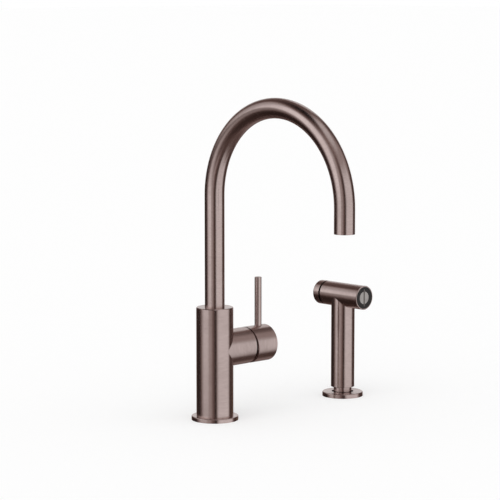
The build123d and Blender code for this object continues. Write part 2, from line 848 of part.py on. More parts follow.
with BuildPart() as grub_screw:
    screw_tip = branch_height - stem_thickness / 2 - seated_gap
    with BuildSketch(deck_plane(screw_tip - grub_screw_length, grub_screw_place)):
        Circle(grub_screw_radius)
    extrude(amount=grub_screw_length)
    with BuildSketch(deck_plane(screw_tip - grub_screw_length, grub_screw_place)):
        RegularPolygon(hex_key_width / math.sqrt(3), 6)
    extrude(amount=hex_key_depth, mode=Mode.SUBTRACT)
keep(grub_screw, "lever_grub_screw")

# ---- Mixer: diverter ----

diverter_top = spout_bore_floor - seated_gap
with BuildPart() as diverter_body:
    with BuildSketch(deck_plane(diverter_floor)):
        Circle(diverter_radius)
        Circle(diverter_radius - diverter_wall, mode=Mode.SUBTRACT)
    extrude(amount=diverter_top - diverter_floor)
    with BuildSketch(deck_plane(diverter_top)):
        Circle(diverter_radius)
        Circle(diverter_lip_radius, mode=Mode.SUBTRACT)
    extrude(amount=-diverter_lip)
    with BuildSketch(branch_plane(0)):
        with Locations((0, outlet_port_rise)):
            Circle(side_port_radius)
    extrude(amount=2 * diverter_radius, mode=Mode.SUBTRACT)
keep(diverter_body, "diverter_body")

piston_radius = diverter_radius - diverter_wall - running_gap
piston_foot = diverter_floor + diverter_piston_start
with BuildPart() as diverter_piston:
    with BuildSketch(deck_plane(piston_foot)):
        Circle(piston_radius)
    extrude(amount=diverter_piston_height)
    with BuildSketch(deck_plane(piston_foot)):
        Circle(piston_radius / 2)
    extrude(amount=diverter_piston_height / 2, mode=Mode.SUBTRACT)
keep(diverter_piston, "diverter_piston")

spring_foot = piston_foot + diverter_piston_height + diverter_wire_radius + seated_gap
spring_head = diverter_top - diverter_lip - diverter_wire_radius - seated_gap
diverter_spring = coil(
    (0, 0, spring_foot),
    (0, 0, 1),
    spring_head - spring_foot,
    diverter_coil_radius,
    diverter_wire_radius,
    diverter_turns,
)
keep(diverter_spring, "diverter_spring")

# ---- Side spray: rosette and fixing ----

spray_seal = ring(
    deck_plane(0, spray_place),
    spray_seal_middle + seal_width / 2,
    spray_seal_middle - seal_width / 2,
    seal_height,
)
keep(spray_seal, "spray_deck_seal")

with BuildPart() as rosette:
    with BuildSketch(deck_plane(0, spray_place)):
        Circle(rosette_radius)
        Circle(rosette_hole_radius, mode=Mode.SUBTRACT)
    extrude(amount=rosette_height)
    rim = rosette.edges().filter_by(GeomType.CIRCLE).group_by(Axis.Z)[-1].sort_by(SortBy.RADIUS)[-1]
    fillet(rim, rosette_edge)
    with BuildSketch(deck_plane(0, spray_place)):
        Circle(spray_shank_radius + seated_gap)
    extrude(amount=rosette_height - rosette_lip_height, mode=Mode.SUBTRACT)
    with BuildSketch(deck_plane(0, spray_place)):
        Circle(spray_seal_middle + seal_width / 2 + seated_gap)
        Circle(spray_seal_middle - seal_width / 2 - seated_gap, mode=Mode.SUBTRACT)
    extrude(amount=seal_height + seated_gap, mode=Mode.SUBTRACT)
keep(rosette, "spray_rosette")

spray_shank = shank(
    spray_place,
    spray_shank_radius,
    spray_shank_bore_radius,
    spray_shank_top,
    spray_shank_depth,
)
keep(spray_shank, "spray_shank")

spray_rubber_washer = ring(
    deck_plane(-worktop_thickness - rubber_washer_height, spray_place),
    spray_shank_radius + washer_overhang,
    spray_shank_radius + free_gap,
    rubber_washer_height,
)
keep(spray_rubber_washer, "spray_rubber_washer")

spray_steel_washer = ring(
    deck_plane(nut_top, spray_place),
    spray_shank_radius + washer_overhang,
    spray_shank_radius + free_gap,
    steel_washer_height,
)
keep(spray_steel_washer, "spray_steel_washer")

spray_nut = hex_nut(
    deck_plane(nut_top - nut_height, spray_place),
    spray_shank_radius + nut_wall,
    spray_shank_radius + seated_gap,
    nut_height,
)
keep(spray_nut, "spray_fixing_nut")

with BuildPart() as hose_guide:
    with BuildSketch(deck_plane(-guide_depth, spray_place)):
        Circle(guide_radius)
        Circle(guide_shelf_radius, mode=Mode.SUBTRACT)
    extrude(amount=guide_depth + spray_shank_top)
    with BuildSketch(deck_plane(spray_shank_top, spray_place)):
        Circle(rosette_hole_radius - seated_gap)
        Circle(guide_shelf_radius, mode=Mode.SUBTRACT)
    extrude(amount=guide_flange_height)
    with BuildSketch(deck_plane(neck_end - free_gap, spray_place)):
        Circle(guide_bore_radius)
    extrude(amount=rosette_height, mode=Mode.SUBTRACT)
keep(hose_guide, "hose_guide")

# ---- Handset: body ----

with BuildPart() as handset:
    with BuildSketch(deck_plane(grip_foot, spray_place)):
        Circle(grip_radius)
    extrude(amount=head_height - grip_foot)
    chamfer(handset.edges().filter_by(GeomType.CIRCLE).sort_by(Axis.Z)[0], grip_edge)
    with BuildSketch(deck_plane(grip_collar_end, spray_place)):
        Circle(grip_collar_radius)
    extrude(amount=grip_foot - grip_collar_end)
    with BuildSketch(deck_plane(neck_end, spray_place)):
        Circle(neck_radius)
    extrude(amount=grip_foot - neck_end)
    with BuildSketch(head_plane(-head_front)):
        Circle(head_radius)
    extrude(amount=head_front + head_back)
    ends = handset.edges().filter_by(GeomType.CIRCLE).sort_by(Axis.Y)
    chamfer([ends[0], ends[-1]], head_edge)

    # Head: recess for the spray face, chamber for the valve, thread for the plug.
    with BuildSketch(head_plane(-head_front)):
        Circle(face_recess_radius)
    extrude(amount=face_recess_depth, mode=Mode.SUBTRACT)
    with BuildSketch(head_plane(-head_front)):
        Circle(head_bore_radius)
    extrude(amount=head_front + head_bore_back, mode=Mode.SUBTRACT)
    with BuildSketch(head_plane(head_bore_back)):
        Circle(plug_radius + seated_gap)
    extrude(amount=head_back - head_bore_back, mode=Mode.SUBTRACT)

    # Grip: hose connection in the neck, its clip groove, and the way up to the valve.
    with BuildSketch(deck_plane(neck_end, spray_place)):
        Circle(connector_radius + running_gap)
    extrude(amount=connector_top + free_gap - neck_end, mode=Mode.SUBTRACT)
    with BuildSketch(deck_plane(clip_place, spray_place)):
        Circle(clip_outer_radius + seated_gap)
    extrude(amount=clip_height + seated_gap, mode=Mode.SUBTRACT)
    with BuildSketch(deck_plane(connector_top, spray_place)):
        Circle(grip_waterway_radius)
    extrude(amount=head_height - connector_top, mode=Mode.SUBTRACT)
keep(handset, "handset_body")

# ---- Handset: hose connection ----

connector_groove_floor = connector_radius - 2 * o_ring_radius - o_ring_room
with BuildPart() as connector:
    with BuildSketch(deck_plane(connector_shoulder, spray_place)):
        Circle(connector_radius)
        Circle(connector_bore_radius, mode=Mode.SUBTRACT)
    extrude(amount=connector_top - connector_shoulder)
    with BuildSketch(deck_plane(connector_thread_top, spray_place)):
        Circle(connector_neck_radius)
        Circle(connector_bore_radius, mode=Mode.SUBTRACT)
    extrude(amount=connector_shoulder - connector_thread_top)
    with BuildSketch(deck_plane(connector_thread_end, spray_place)):
        Circle(connector_thread_radius)
        Circle(connector_bore_radius, mode=Mode.SUBTRACT)
    extrude(amount=connector_thread_top - connector_thread_end)
    with BuildSketch(deck_plane(connector_ring_place - o_ring_radius - o_ring_room, spray_place)):
        Circle(2 * connector_radius)
        Circle(connector_groove_floor, mode=Mode.SUBTRACT)
    extrude(amount=2 * (o_ring_radius + o_ring_room), mode=Mode.SUBTRACT)
keep(connector, "hose_connector")

with BuildPart() as connector_o_ring:
    with BuildSketch(Plane.XZ):
        with Locations((spray_place + connector_radius - o_ring_radius, connector_ring_place)):
            Circle(o_ring_radius)
    revolve(axis=Axis((spray_place, 0, 0), (0, 0, 1)))
keep(connector_o_ring, "connector_o_ring")

# A snap ring with a gap, under the connector's shoulder.
with BuildPart() as connector_clip:
    with BuildSketch(deck_plane(clip_place, spray_place)):
        Circle(clip_outer_radius)
        Circle(connector_neck_radius + running_gap, mode=Mode.SUBTRACT)
        with Locations((0, clip_outer_radius)):
            Rectangle(clip_mouth, 2 * clip_outer_radius, mode=Mode.SUBTRACT)
    extrude(amount=clip_height)
keep(connector_clip, "connector_clip")

# ---- Handset: spray face ----

with BuildPart() as spray_face:
    with BuildSketch(head_plane(-head_front + face_inset)):
        Circle(face_recess_radius - seated_gap)
        Circle(face_disc_radius + seated_gap, mode=Mode.SUBTRACT)
    extrude(amount=face_recess_depth - face_inset)
    with BuildSketch(head_plane(-head_front + face_inset)):
        with PolarLocations(face_nozzle_circle, face_nozzles, start_angle=180 / face_nozzles):
            Circle(face_nozzle_radius)
    extrude(amount=face_nozzle_depth, mode=Mode.SUBTRACT)
    with BuildSketch(head_plane(-head_front + face_inset)):
        Rectangle(face_rib_width + 2 * seated_gap, face_rib_length + 2 * seated_gap)
    extrude(amount=face_rib_depth + seated_gap, mode=Mode.SUBTRACT)
keep(spray_face, "spray_face")

with BuildPart() as face_disc:
    with BuildSketch(head_plane(-head_front + face_inset)):
        Circle(face_disc_radius)
    extrude(amount=face_recess_depth - face_inset)
    with BuildSketch(head_plane(-head_front + face_inset - face_rib_rise)):
        Rectangle(face_rib_width, face_rib_length)
    extrude(amount=face_rib_rise + face_rib_depth)
keep(face_disc, "spray_face_disc")

# ---- Handset: valve and push button ----

with BuildPart() as valve_body:
    with BuildSketch(head_plane(valve_front)):
        Circle(head_bore_radius - seated_gap)
        Circle(valve_seat_radius, mode=Mode.SUBTRACT)
    extrude(amount=valve_length)
    with BuildSketch(head_plane(valve_front + valve_length)):
        Circle((head_bore_radius + valve_seat_radius) / 2)
    extrude(amount=-valve_length / 2, mode=Mode.SUBTRACT)
keep(valve_body, "valve_seat")

seal_back = valve_front - free_gap
flange_back = seal_back - valve_seal_height
with BuildPart() as valve_seal:
    with BuildSketch(head_plane(seal_back)):
        Circle(valve_seal_radius)
        Circle(valve_stem_radius + seated_gap, mode=Mode.SUBTRACT)
    extrude(amount=-valve_seal_height)
keep(valve_seal, "valve_seal")

with BuildPart() as valve_stem:
    with BuildSketch(head_plane(flange_back - valve_flange_height)):
        Circle(valve_flange_radius)
    extrude(amount=valve_flange_height)
    with BuildSketch(head_plane(flange_back)):
        Circle(valve_stem_radius)
    extrude(amount=button_floor - flange_back - seated_gap)
keep(valve_stem, "valve_stem")

plug_base = head_bore_back + seated_gap
with BuildPart() as plug:
    with BuildSketch(head_plane(plug_base)):
        Circle(plug_radius)
    extrude(amount=head_back - plug_base)
    with BuildSketch(head_plane(plug_base)):
        Circle(plug_neck_radius)
    extrude(amount=plug_neck_end - plug_base)
    with BuildSketch(head_plane(plug_neck_end)):
        Circle(plug_pocket_radius)
    extrude(amount=-(plug_neck_end - plug_base - plug_floor), mode=Mode.SUBTRACT)
    with BuildSketch(head_plane(plug_base)):
        Circle(valve_stem_radius + running_gap)
    extrude(amount=plug_floor, mode=Mode.SUBTRACT)
keep(plug, "button_guide")

with BuildPart() as button:
    with BuildSketch(head_plane(button_start)):
        Circle(head_radius)
    extrude(amount=button_end - button_start)
    fillet(button.edges().filter_by(GeomType.CIRCLE).sort_by(Axis.Y)[-1], button_edge)
    with BuildSketch(head_plane(button_start)):
        Circle(plug_neck_radius + free_gap)
    extrude(amount=button_floor - button_start, mode=Mode.SUBTRACT)
    with BuildSketch(head_plane(button_floor)):
        Circle(button_boss_radius)
        Circle(valve_stem_radius + seated_gap, mode=Mode.SUBTRACT)
    extrude(amount=-button_boss_length)
keep(button, "spray_button")

button_spring_foot = plug_base + plug_floor + button_wire_radius + seated_gap
button_spring_head = button_floor - button_wire_radius - seated_gap
button_spring = coil(
    (spray_place, button_spring_foot, head_height),
    (0, 1, 0),
    button_spring_head - button_spring_foot,
    button_coil_radius,
    button_wire_radius,
    button_turns,
)
keep(button_spring, "button_spring")
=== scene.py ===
import math

import bmesh
import bpy
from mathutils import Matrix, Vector


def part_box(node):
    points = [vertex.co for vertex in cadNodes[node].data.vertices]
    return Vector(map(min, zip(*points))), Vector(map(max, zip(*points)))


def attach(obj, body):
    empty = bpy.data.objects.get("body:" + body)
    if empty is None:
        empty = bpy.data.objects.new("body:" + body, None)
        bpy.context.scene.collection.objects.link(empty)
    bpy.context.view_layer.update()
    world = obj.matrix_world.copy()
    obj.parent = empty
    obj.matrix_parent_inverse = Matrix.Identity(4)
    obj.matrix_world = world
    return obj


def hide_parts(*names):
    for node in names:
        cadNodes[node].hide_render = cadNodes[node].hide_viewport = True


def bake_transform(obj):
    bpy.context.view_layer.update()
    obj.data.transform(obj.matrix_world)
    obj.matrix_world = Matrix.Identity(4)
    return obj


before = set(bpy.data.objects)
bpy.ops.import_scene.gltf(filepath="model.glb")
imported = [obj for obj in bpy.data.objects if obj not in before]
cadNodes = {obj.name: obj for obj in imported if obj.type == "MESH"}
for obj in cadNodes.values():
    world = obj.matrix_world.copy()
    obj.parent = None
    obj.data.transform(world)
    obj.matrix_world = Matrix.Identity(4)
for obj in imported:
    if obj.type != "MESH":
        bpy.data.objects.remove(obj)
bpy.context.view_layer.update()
print("frame loaded:", len(cadNodes), "CAD nodes")

mm = 0.001  # the sizes below are written in millimetres


def hexToLinear(hexColour):
    channels = [int(hexColour[i:i + 2], 16) / 255 for i in (1, 3, 5)]
    linear = [c / 12.92 if c <= 0.04045 else ((c + 0.055) / 1.055) ** 2.4 for c in channels]
    return (*linear, 1.0)


def addNode(tree, kind, inputs=None, **settings):
    # inputs: socket name or number -> a value, or the output socket that feeds it
    node = tree.nodes.new(kind)
    for key, value in settings.items():
        setattr(node, key, value)
    for key, value in (inputs or {}).items():
        if isinstance(value, bpy.types.NodeSocket):
            tree.links.new(value, node.inputs[key])
        else:
            node.inputs[key].default_value = value
    return node


noiseRange = {"From Min": 0.35, "From Max": 0.65}  # mixed noise lies mostly between these


def emptyMaterial(name):
    material = bpy.data.materials.new(name)
    material.use_nodes = True
    material.node_tree.nodes.clear()
    return material, material.node_tree


def shadedMaterial(name):
    material, tree = emptyMaterial(name)
    shader = addNode(tree, "ShaderNodeBsdfPrincipled")
    addNode(tree, "ShaderNodeOutputMaterial", {"Surface": shader.outputs[0]})
    return material, tree, shader


# Where the turned pieces lie, in metres, read off the frame.
branchHeight = (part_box("lever_hub")[0].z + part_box("lever_hub")[1].z) / 2
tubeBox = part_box("spout_tube")
tubeWidth = tubeBox[1].x - tubeBox[0].x
archRadius = (tubeBox[1].y - tubeBox[0].y - tubeWidth) / 2
archStart = tubeBox[1].z - archRadius - tubeWidth / 2
sprayPlace = (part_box("spray_rosette")[0].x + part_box("spray_rosette")[1].x) / 2
headHeight = (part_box("spray_button")[0].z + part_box("spray_button")[1].z) / 2
rodPlace = (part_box("lever_rod")[0].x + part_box("lever_rod")[1].x) / 2

# How each group of pieces was turned: round one straight axis, round two that meet in a tee, or along an
# arch.
turnings = {
    "mixer": {"shape": "straight", "axis": (0, 0, 1), "centre": (0, 0, 0), "across": (1, 0, 0)},
    "column": {
        "shape": "tee", "axis": (0, 0, 1), "stub": (1, 0, 0),
        "centre": (0, 0, branchHeight), "across": (0, 1, 0),
    },
    "branch": {"shape": "straight", "axis": (1, 0, 0), "centre": (0, 0, branchHeight), "across": (0, 1, 0)},
    "rod": {"shape": "straight", "axis": (0, 0, 1), "centre": (rodPlace, 0, 0), "across": (1, 0, 0)},
    "spout": {"shape": "arch", "axis": (0, 0, 1), "centre": (0, -archRadius, archStart), "across": (1, 0, 0)},
    "outlet": {"shape": "straight", "axis": (0, 0, 1), "centre": (0, -2 * archRadius, 0), "across": (1, 0, 0)},
    "spray": {"shape": "straight", "axis": (0, 0, 1), "centre": (sprayPlace, 0, 0), "across": (1, 0, 0)},
    "handset": {
        "shape": "tee", "axis": (0, 1, 0), "stub": (0, 0, -1),
        "centre": (sprayPlace, 0, headHeight), "across": (1, 0, 0),
    },
    "head": {"shape": "straight", "axis": (0, 1, 0), "centre": (sprayPlace, 0, headHeight), "across": (1, 0, 0)},
}


def turnedSurface(tree, turning):
    # Where a point lies on a piece that was turned or brushed round its axis. Gives the pattern place, which
    # runs fast along the axis and slowly round it, and the direction of the brush lines, in world space.
    coords = addNode(tree, "ShaderNodeTexCoord")
    place = addNode(
        tree, "ShaderNodeVectorMath", {0: coords.outputs["Object"], 1: turning["centre"]}, operation="SUBTRACT"
    ).outputs[0]

    if turning["shape"] == "arch":
        # Two straight legs below the arch's middle, and above it a bend round that middle.
        parts = addNode(tree, "ShaderNodeSeparateXYZ", {0: place}).outputs
        onArch = addNode(tree, "ShaderNodeMath", {0: parts["Z"], 1: 0.0}, operation="GREATER_THAN").outputs[0]
        tangent = addNode(
            tree, "ShaderNodeVectorMath", {0: turning["across"], 1: place}, operation="CROSS_PRODUCT"
        ).outputs[0]
        tangent = addNode(tree, "ShaderNodeVectorMath", {0: tangent}, operation="NORMALIZE").outputs[0]
        axis = addNode(
            tree, "ShaderNodeMix", {"Factor": onArch, 4: turning["axis"], 5: tangent}, data_type="VECTOR"
        ).outputs[1]
        angle = addNode(tree, "ShaderNodeMath", {0: parts["Z"], 1: parts["Y"]}, operation="ARCTAN2").outputs[0]
        bent = addNode(tree, "ShaderNodeMath", {0: angle, 1: archRadius}, operation="MULTIPLY").outputs[0]
        lineCount = addNode(
            tree, "ShaderNodeMix", {"Factor": onArch, 2: parts["Z"], 3: bent}, data_type="FLOAT"
        ).outputs[0]

        # Outward is away from the nearest point of the tube's middle line, also on its flat ends.
        raised = addNode(tree, "ShaderNodeMath", {0: parts["Z"], 1: 0.0}, operation="MAXIMUM").outputs[0]
        spoke = addNode(tree, "ShaderNodeCombineXYZ", {1: parts["Y"], 2: raised}).outputs[0]
        middle = addNode(tree, "ShaderNodeVectorMath", {0: spoke}, operation="NORMALIZE").outputs[0]
        middle = addNode(tree, "ShaderNodeVectorMath", {0: middle, 3: archRadius}, operation="SCALE").outputs[0]
        lifted = addNode(tree, "ShaderNodeCombineXYZ", {0: parts["X"], 1: parts["Y"], 2: raised}).outputs[0]
        outward = addNode(tree, "ShaderNodeVectorMath", {0: lifted, 1: middle}, operation="SUBTRACT").outputs[0]
        outward = addNode(tree, "ShaderNodeVectorMath", {0: outward}, operation="NORMALIZE").outputs[0]
    else:
        if turning["shape"] == "tee":
            alongMain = addNode(
                tree, "ShaderNodeVectorMath", {0: place, 1: turning["axis"]}, operation="DOT_PRODUCT"
            ).outputs["Value"]
            alongStub = addNode(
                tree, "ShaderNodeVectorMath", {0: place, 1: turning["stub"]}, operation="DOT_PRODUCT"
            ).outputs["Value"]
            mainSize = addNode(tree, "ShaderNodeMath", {0: alongMain}, operation="ABSOLUTE").outputs[0]
            onStub = addNode(
                tree, "ShaderNodeMath", {0: alongStub, 1: mainSize}, operation="GREATER_THAN"
            ).outputs[0]
            axis = addNode(
                tree, "ShaderNodeMix", {"Factor": onStub, 4: turning["axis"], 5: turning["stub"]},
                data_type="VECTOR",
            ).outputs[1]
        else:
            axis = addNode(tree, "ShaderNodeCombineXYZ", dict(enumerate(turning["axis"]))).outputs[0]
        along = addNode(
            tree, "ShaderNodeVectorMath", {0: place, 1: axis}, operation="DOT_PRODUCT"
        ).outputs["Value"]
        axisPart = addNode(tree, "ShaderNodeVectorMath", {0: axis, 3: along}, operation="SCALE").outputs[0]
        radial = addNode(tree, "ShaderNodeVectorMath", {0: place, 1: axisPart}, operation="SUBTRACT").outputs[0]
        radius = addNode(tree, "ShaderNodeVectorMath", {0: radial}, operation="LENGTH").outputs["Value"]
        outward = addNode(tree, "ShaderNodeVectorMath", {0: radial}, operation="NORMALIZE").outputs[0]
        lineCount = addNode(tree, "ShaderNodeMath", {0: along, 1: radius}, operation="ADD").outputs[0]

    side = addNode(
        tree, "ShaderNodeVectorMath", {0: axis, 1: turning["across"]}, operation="CROSS_PRODUCT"
    ).outputs[0]
    firstTurn = addNode(
        tree, "ShaderNodeVectorMath", {0: outward, 1: turning["across"]}, operation="DOT_PRODUCT"
    ).outputs["Value"]
    secondTurn = addNode(
        tree, "ShaderNodeVectorMath", {0: outward, 1: side}, operation="DOT_PRODUCT"
    ).outputs["Value"]
    lines = addNode(tree, "ShaderNodeCombineXYZ", {0: lineCount, 1: firstTurn, 2: secondTurn}).outputs[0]
    around = addNode(tree, "ShaderNodeVectorMath", {0: axis, 1: outward}, operation="CROSS_PRODUCT").outputs[0]
    around = addNode(
        tree, "ShaderNodeVectorTransform", {0: around},
        vector_type="VECTOR", convert_from="OBJECT", convert_to="WORLD",
    ).outputs[0]
    return coords, lines, around


# What all brushed metals share. The quarter turn makes reflections stretch across the brush lines.
brushPattern = {"detail": 3.0, "roughness": 0.6, "bumpStrength": 0.4, "quarterTurn": 0.25}
metalLooks = {
    # Brushed brass under a PVD bronze coating. This colour is pale. In plain white light it renders as a pale
    # rose metal, and only this scene's tent makes it look dark bronze, so in another scene it needs a darker
    # colour. The brush lines run round each piece, so reflections smear along its axis into long bands with
    # crisp sides.
    "satinBronze": {
        "light": "#d0bdb9", "deep": "#c1aeaa",  # where the brush lines are bright, and where they are deep
        "roughness": 0.24, "roughnessSpread": 0.03, "anisotropy": 0.6,
        # Real brush lines are about 0.1 mm wide. These are coarser, so that they show.
        "lineWidth": 0.9 * mm, "lineReach": 2.5,
        "lineDepth": 0.0012 * mm, "patchSize": 45 * mm, "patchShare": 0.5,
    },
    # Turned brass, left bare where it is out of sight: yellow, with lathe lines and dull brown patches.
    "turnedBrass": {
        "light": "#d8bd84", "deep": "#a5823f",
        "roughness": 0.34, "roughnessSpread": 0.08, "anisotropy": 0.5,
        "lineWidth": 0.6 * mm, "lineReach": 1.5,
        "lineDepth": 0.004 * mm, "patchSize": 9 * mm, "patchShare": 0.5,
    },
    # Rolled stainless steel: grey, with fine grinding lines.
    "stainlessSteel": {
        "light": "#c4c4c1", "deep": "#9d9d9b",
        "roughness": 0.3, "roughnessSpread": 0.08, "anisotropy": 0.5,
        "lineWidth": 0.5 * mm, "lineReach": 1.5,
        "lineDepth": 0.003 * mm, "patchSize": 14 * mm, "patchShare": 0.5,
    },
}


def brushedMetal(name, look, turning):
    material, tree, shader = shadedMaterial(name)
    coords, lines, around = turnedSurface(tree, turning)
    stretched = addNode(
        tree, "ShaderNodeVectorMath",
        {0: lines, 1: (1 / look["lineWidth"], look["lineReach"], look["lineReach"])},
        operation="MULTIPLY",
    ).outputs[0]
    brush = addNode(
        tree, "ShaderNodeTexNoise",
        {
            "Vector": stretched, "Scale": 1.0,
            "Detail": brushPattern["detail"], "Roughness": brushPattern["roughness"],
        },
    ).outputs["Fac"]
    patches = addNode(
        tree, "ShaderNodeTexNoise",
        {"Vector": coords.outputs["Object"], "Scale": 1 / look["patchSize"], "Detail": brushPattern["detail"]},
    ).outputs["Fac"]
    blend = addNode(
        tree, "ShaderNodeMix", {"Factor": look["patchShare"], 2: brush, 3: patches}, data_type="FLOAT"
    ).outputs[0]
    blend = addNode(
        tree, "ShaderNodeMapRange", {"Value": blend, **noiseRange}
    ).outputs[0]
    colour = addNode(
        tree, "ShaderNodeMix",
        {"Factor": blend, 6: hexToLinear(look["deep"]), 7: hexToLinear(look["light"])}, data_type="RGBA",
    ).outputs[2]
    roughness = addNode(
        tree, "ShaderNodeMapRange",
        {
            "Value": blend,
            "To Min": look["roughness"] + look["roughnessSpread"],
            "To Max": look["roughness"] - look["roughnessSpread"],
        },
    ).outputs[0]
    bump = addNode(
        tree, "ShaderNodeBump",
        {"Strength": brushPattern["bumpStrength"], "Distance": look["lineDepth"], "Height": brush},
    ).outputs[0]
    tree.links.new(colour, shader.inputs["Base Color"])
    tree.links.new(roughness, shader.inputs["Roughness"])
    tree.links.new(bump, shader.inputs["Normal"])
    tree.links.new(around, shader.inputs["Tangent"])
    shader.inputs["Metallic"].default_value = 1.0
    shader.inputs["Anisotropic"].default_value = look["anisotropy"]
    shader.inputs["Anisotropic Rotation"].default_value = brushPattern["quarterTurn"]
    return material


# What all moulded and pressed pieces share: a fine grain, and a cloud that is larger than the grain.
mouldedPattern = {
    "grainDetail": 4.0, "grainRoughness": 0.6, "cloudDetail": 2.0, "cloudScale": 0.12, "cloudShare": 0.5,
    "roughnessSpread": 0.06, "bumpStrength": 0.5,
}
mouldedLooks = {
    # EPDM rubber: matt black with a grey bloom of talc from the mould.
    "epdmRubber": {
        "light": "#2b2b2b", "deep": "#141414", "roughness": 0.75,
        "grain": 1.6 * mm, "depth": 0.03 * mm, "ior": 1.52,
    },
    # Silicone rubber: dark grey, soft and slightly waxy, so its tips catch a dull light.
    "siliconeRubber": {
        "light": "#35312f", "deep": "#221f1e", "roughness": 0.5,
        "grain": 0.8 * mm, "depth": 0.01 * mm, "ior": 1.43,
    },
    # Acetal: milky white engineering plastic with a waxy shine.
    "acetal": {
        "light": "#eeece4", "deep": "#dcd9cf", "roughness": 0.38,
        "grain": 5 * mm, "depth": 0.01 * mm, "ior": 1.48,
    },
    # Glass-filled nylon: near-black with a fine spark-eroded grain.
    "blackNylon": {
        "light": "#1a1716", "deep": "#0e0c0c", "roughness": 0.42,
        "grain": 0.7 * mm, "depth": 0.02 * mm, "ior": 1.53,
    },
    # ABS with a metallic pigment: satin mid grey.
    "greyAbs": {
        "light": "#b4afab", "deep": "#9c9793", "roughness": 0.4,
        "grain": 1.2 * mm, "depth": 0.01 * mm, "ior": 1.53,
    },
    # Lapped alumina: ivory ceramic with a mirror-like face.
    "aluminaCeramic": {
        "light": "#efe8d8", "deep": "#e2d8c3", "roughness": 0.12,
        "grain": 3 * mm, "depth": 0.002 * mm, "ior": 1.76,
    },
}
# The bar across the spray face's disc is painted a darker grey than the disc that it is moulded on. That darker
# grey is painted shade, not the bar's own colour.
paintedRibShade = {"colour": "#5f5955", "width": 2.0 * mm, "softness": 0.15 * mm}


def mouldedSurface(name, look, rib=None):
    material, tree, shader = shadedMaterial(name)
    coords = addNode(tree, "ShaderNodeTexCoord")
    grain = addNode(
        tree, "ShaderNodeTexNoise",
        {
            "Vector": coords.outputs["Object"], "Scale": 1 / look["grain"],
            "Detail": mouldedPattern["grainDetail"], "Roughness": mouldedPattern["grainRoughness"],
        },
    ).outputs["Fac"]
    cloud = addNode(
        tree, "ShaderNodeTexNoise",
        {
            "Vector": coords.outputs["Object"], "Scale": mouldedPattern["cloudScale"] / look["grain"],
            "Detail": mouldedPattern["cloudDetail"],
        },
    ).outputs["Fac"]
    blend = addNode(
        tree, "ShaderNodeMix", {"Factor": mouldedPattern["cloudShare"], 2: grain, 3: cloud}, data_type="FLOAT"
    ).outputs[0]
    blend = addNode(
        tree, "ShaderNodeMapRange", {"Value": blend, **noiseRange}
    ).outputs[0]
    colour = addNode(
        tree, "ShaderNodeMix",
        {"Factor": blend, 6: hexToLinear(look["deep"]), 7: hexToLinear(look["light"])}, data_type="RGBA",
    ).outputs[2]
    # The darker bar down the disc's middle is painted shade, mixed into the disc's own grey.
    if rib:
        across = addNode(tree, "ShaderNodeSeparateXYZ", {0: coords.outputs["Object"]}).outputs["X"]
        across = addNode(tree, "ShaderNodeMath", {0: across, 1: sprayPlace}, operation="SUBTRACT").outputs[0]
        across = addNode(tree, "ShaderNodeMath", {0: across}, operation="ABSOLUTE").outputs[0]
        onPaintedRibShade = addNode(
            tree, "ShaderNodeMapRange",
            {"Value": across, "From Min": rib["width"] / 2 + rib["softness"], "From Max": rib["width"] / 2},
        ).outputs[0]
        colour = addNode(
            tree, "ShaderNodeMix", {"Factor": onPaintedRibShade, 6: colour, 7: hexToLinear(rib["colour"])}, data_type="RGBA"
        ).outputs[2]
    roughness = addNode(
        tree, "ShaderNodeMapRange",
        {
            "Value": cloud,
            "To Min": look["roughness"] - mouldedPattern["roughnessSpread"],
            "To Max": look["roughness"] + mouldedPattern["roughnessSpread"],
        },
    ).outputs[0]
    bump = addNode(
        tree, "ShaderNodeBump",
        {"Strength": mouldedPattern["bumpStrength"], "Distance": look["depth"], "Height": grain},
    ).outputs[0]
    tree.links.new(colour, shader.inputs["Base Color"])
    tree.links.new(roughness, shader.inputs["Roughness"])
    tree.links.new(bump, shader.inputs["Normal"])
    shader.inputs["IOR"].default_value = look["ior"]
    return material


# Which CAD node has which finish, and for a metal how the piece was turned.
metalNodes = {
    "satinBronze": {
        "base_flange": "mixer", "mixer_body": "column", "spout_collar": "mixer", "spout_tube": "spout",
        "branch_dome": "branch", "lever_hub": "branch", "lever_rod": "rod", "spray_rosette": "spray",
        "handset_body": "handset", "spray_button": "head",
    },
    "turnedBrass": {
        "mixer_shank": "mixer", "mixer_fixing_nut": "mixer", "spout_sleeve": "mixer", "outlet_bush": "outlet",
        "lever_stem": "branch", "cartridge_ring_nut": "branch", "diverter_body": "mixer", "spray_shank": "spray",
        "spray_fixing_nut": "spray", "hose_connector": "spray", "valve_seat": "head", "valve_stem": "head",
    },
    "stainlessSteel": {
        "mixer_steel_washer": "mixer", "spout_catch_screw": "mixer", "lever_pivot_pin": "branch",
        "lever_grub_screw": "branch", "diverter_spring": "mixer", "spray_steel_washer": "spray",
        "connector_clip": "spray", "button_spring": "head",
    },
}
mouldedNodes = {
    "epdmRubber": [
        "mixer_deck_seal", "mixer_rubber_washer", "spout_o_rings", "aerator_washer", "port_seals",
        "spray_deck_seal", "spray_rubber_washer", "connector_o_ring", "valve_seal",
    ],
    "acetal": [
        "spout_thrust_ring", "spout_glide_ring", "aerator_insert", "cartridge_base", "cartridge_housing",
        "diverter_piston",
    ],
    "blackNylon": ["aerator_housing", "hose_guide", "spray_face", "button_guide"],
    "greyAbs": ["cartridge_rotor"],
    "aluminaCeramic": ["fixed_ceramic_disc", "moving_ceramic_disc"],
}

nodeFinish = {}
for finish, places in metalNodes.items():
    for place in sorted(set(places.values())):
        material = brushedMetal(finish + "_" + place, metalLooks[finish], turnings[place])
        nodeFinish.update({node: material for node in places if places[node] == place})
for finish, names in mouldedNodes.items():
    material = mouldedSurface(finish, mouldedLooks[finish])
    nodeFinish.update({node: material for node in names})
nodeFinish["spray_face_disc"] = mouldedSurface("greyAbs_disc", mouldedLooks["greyAbs"], paintedRibShade)

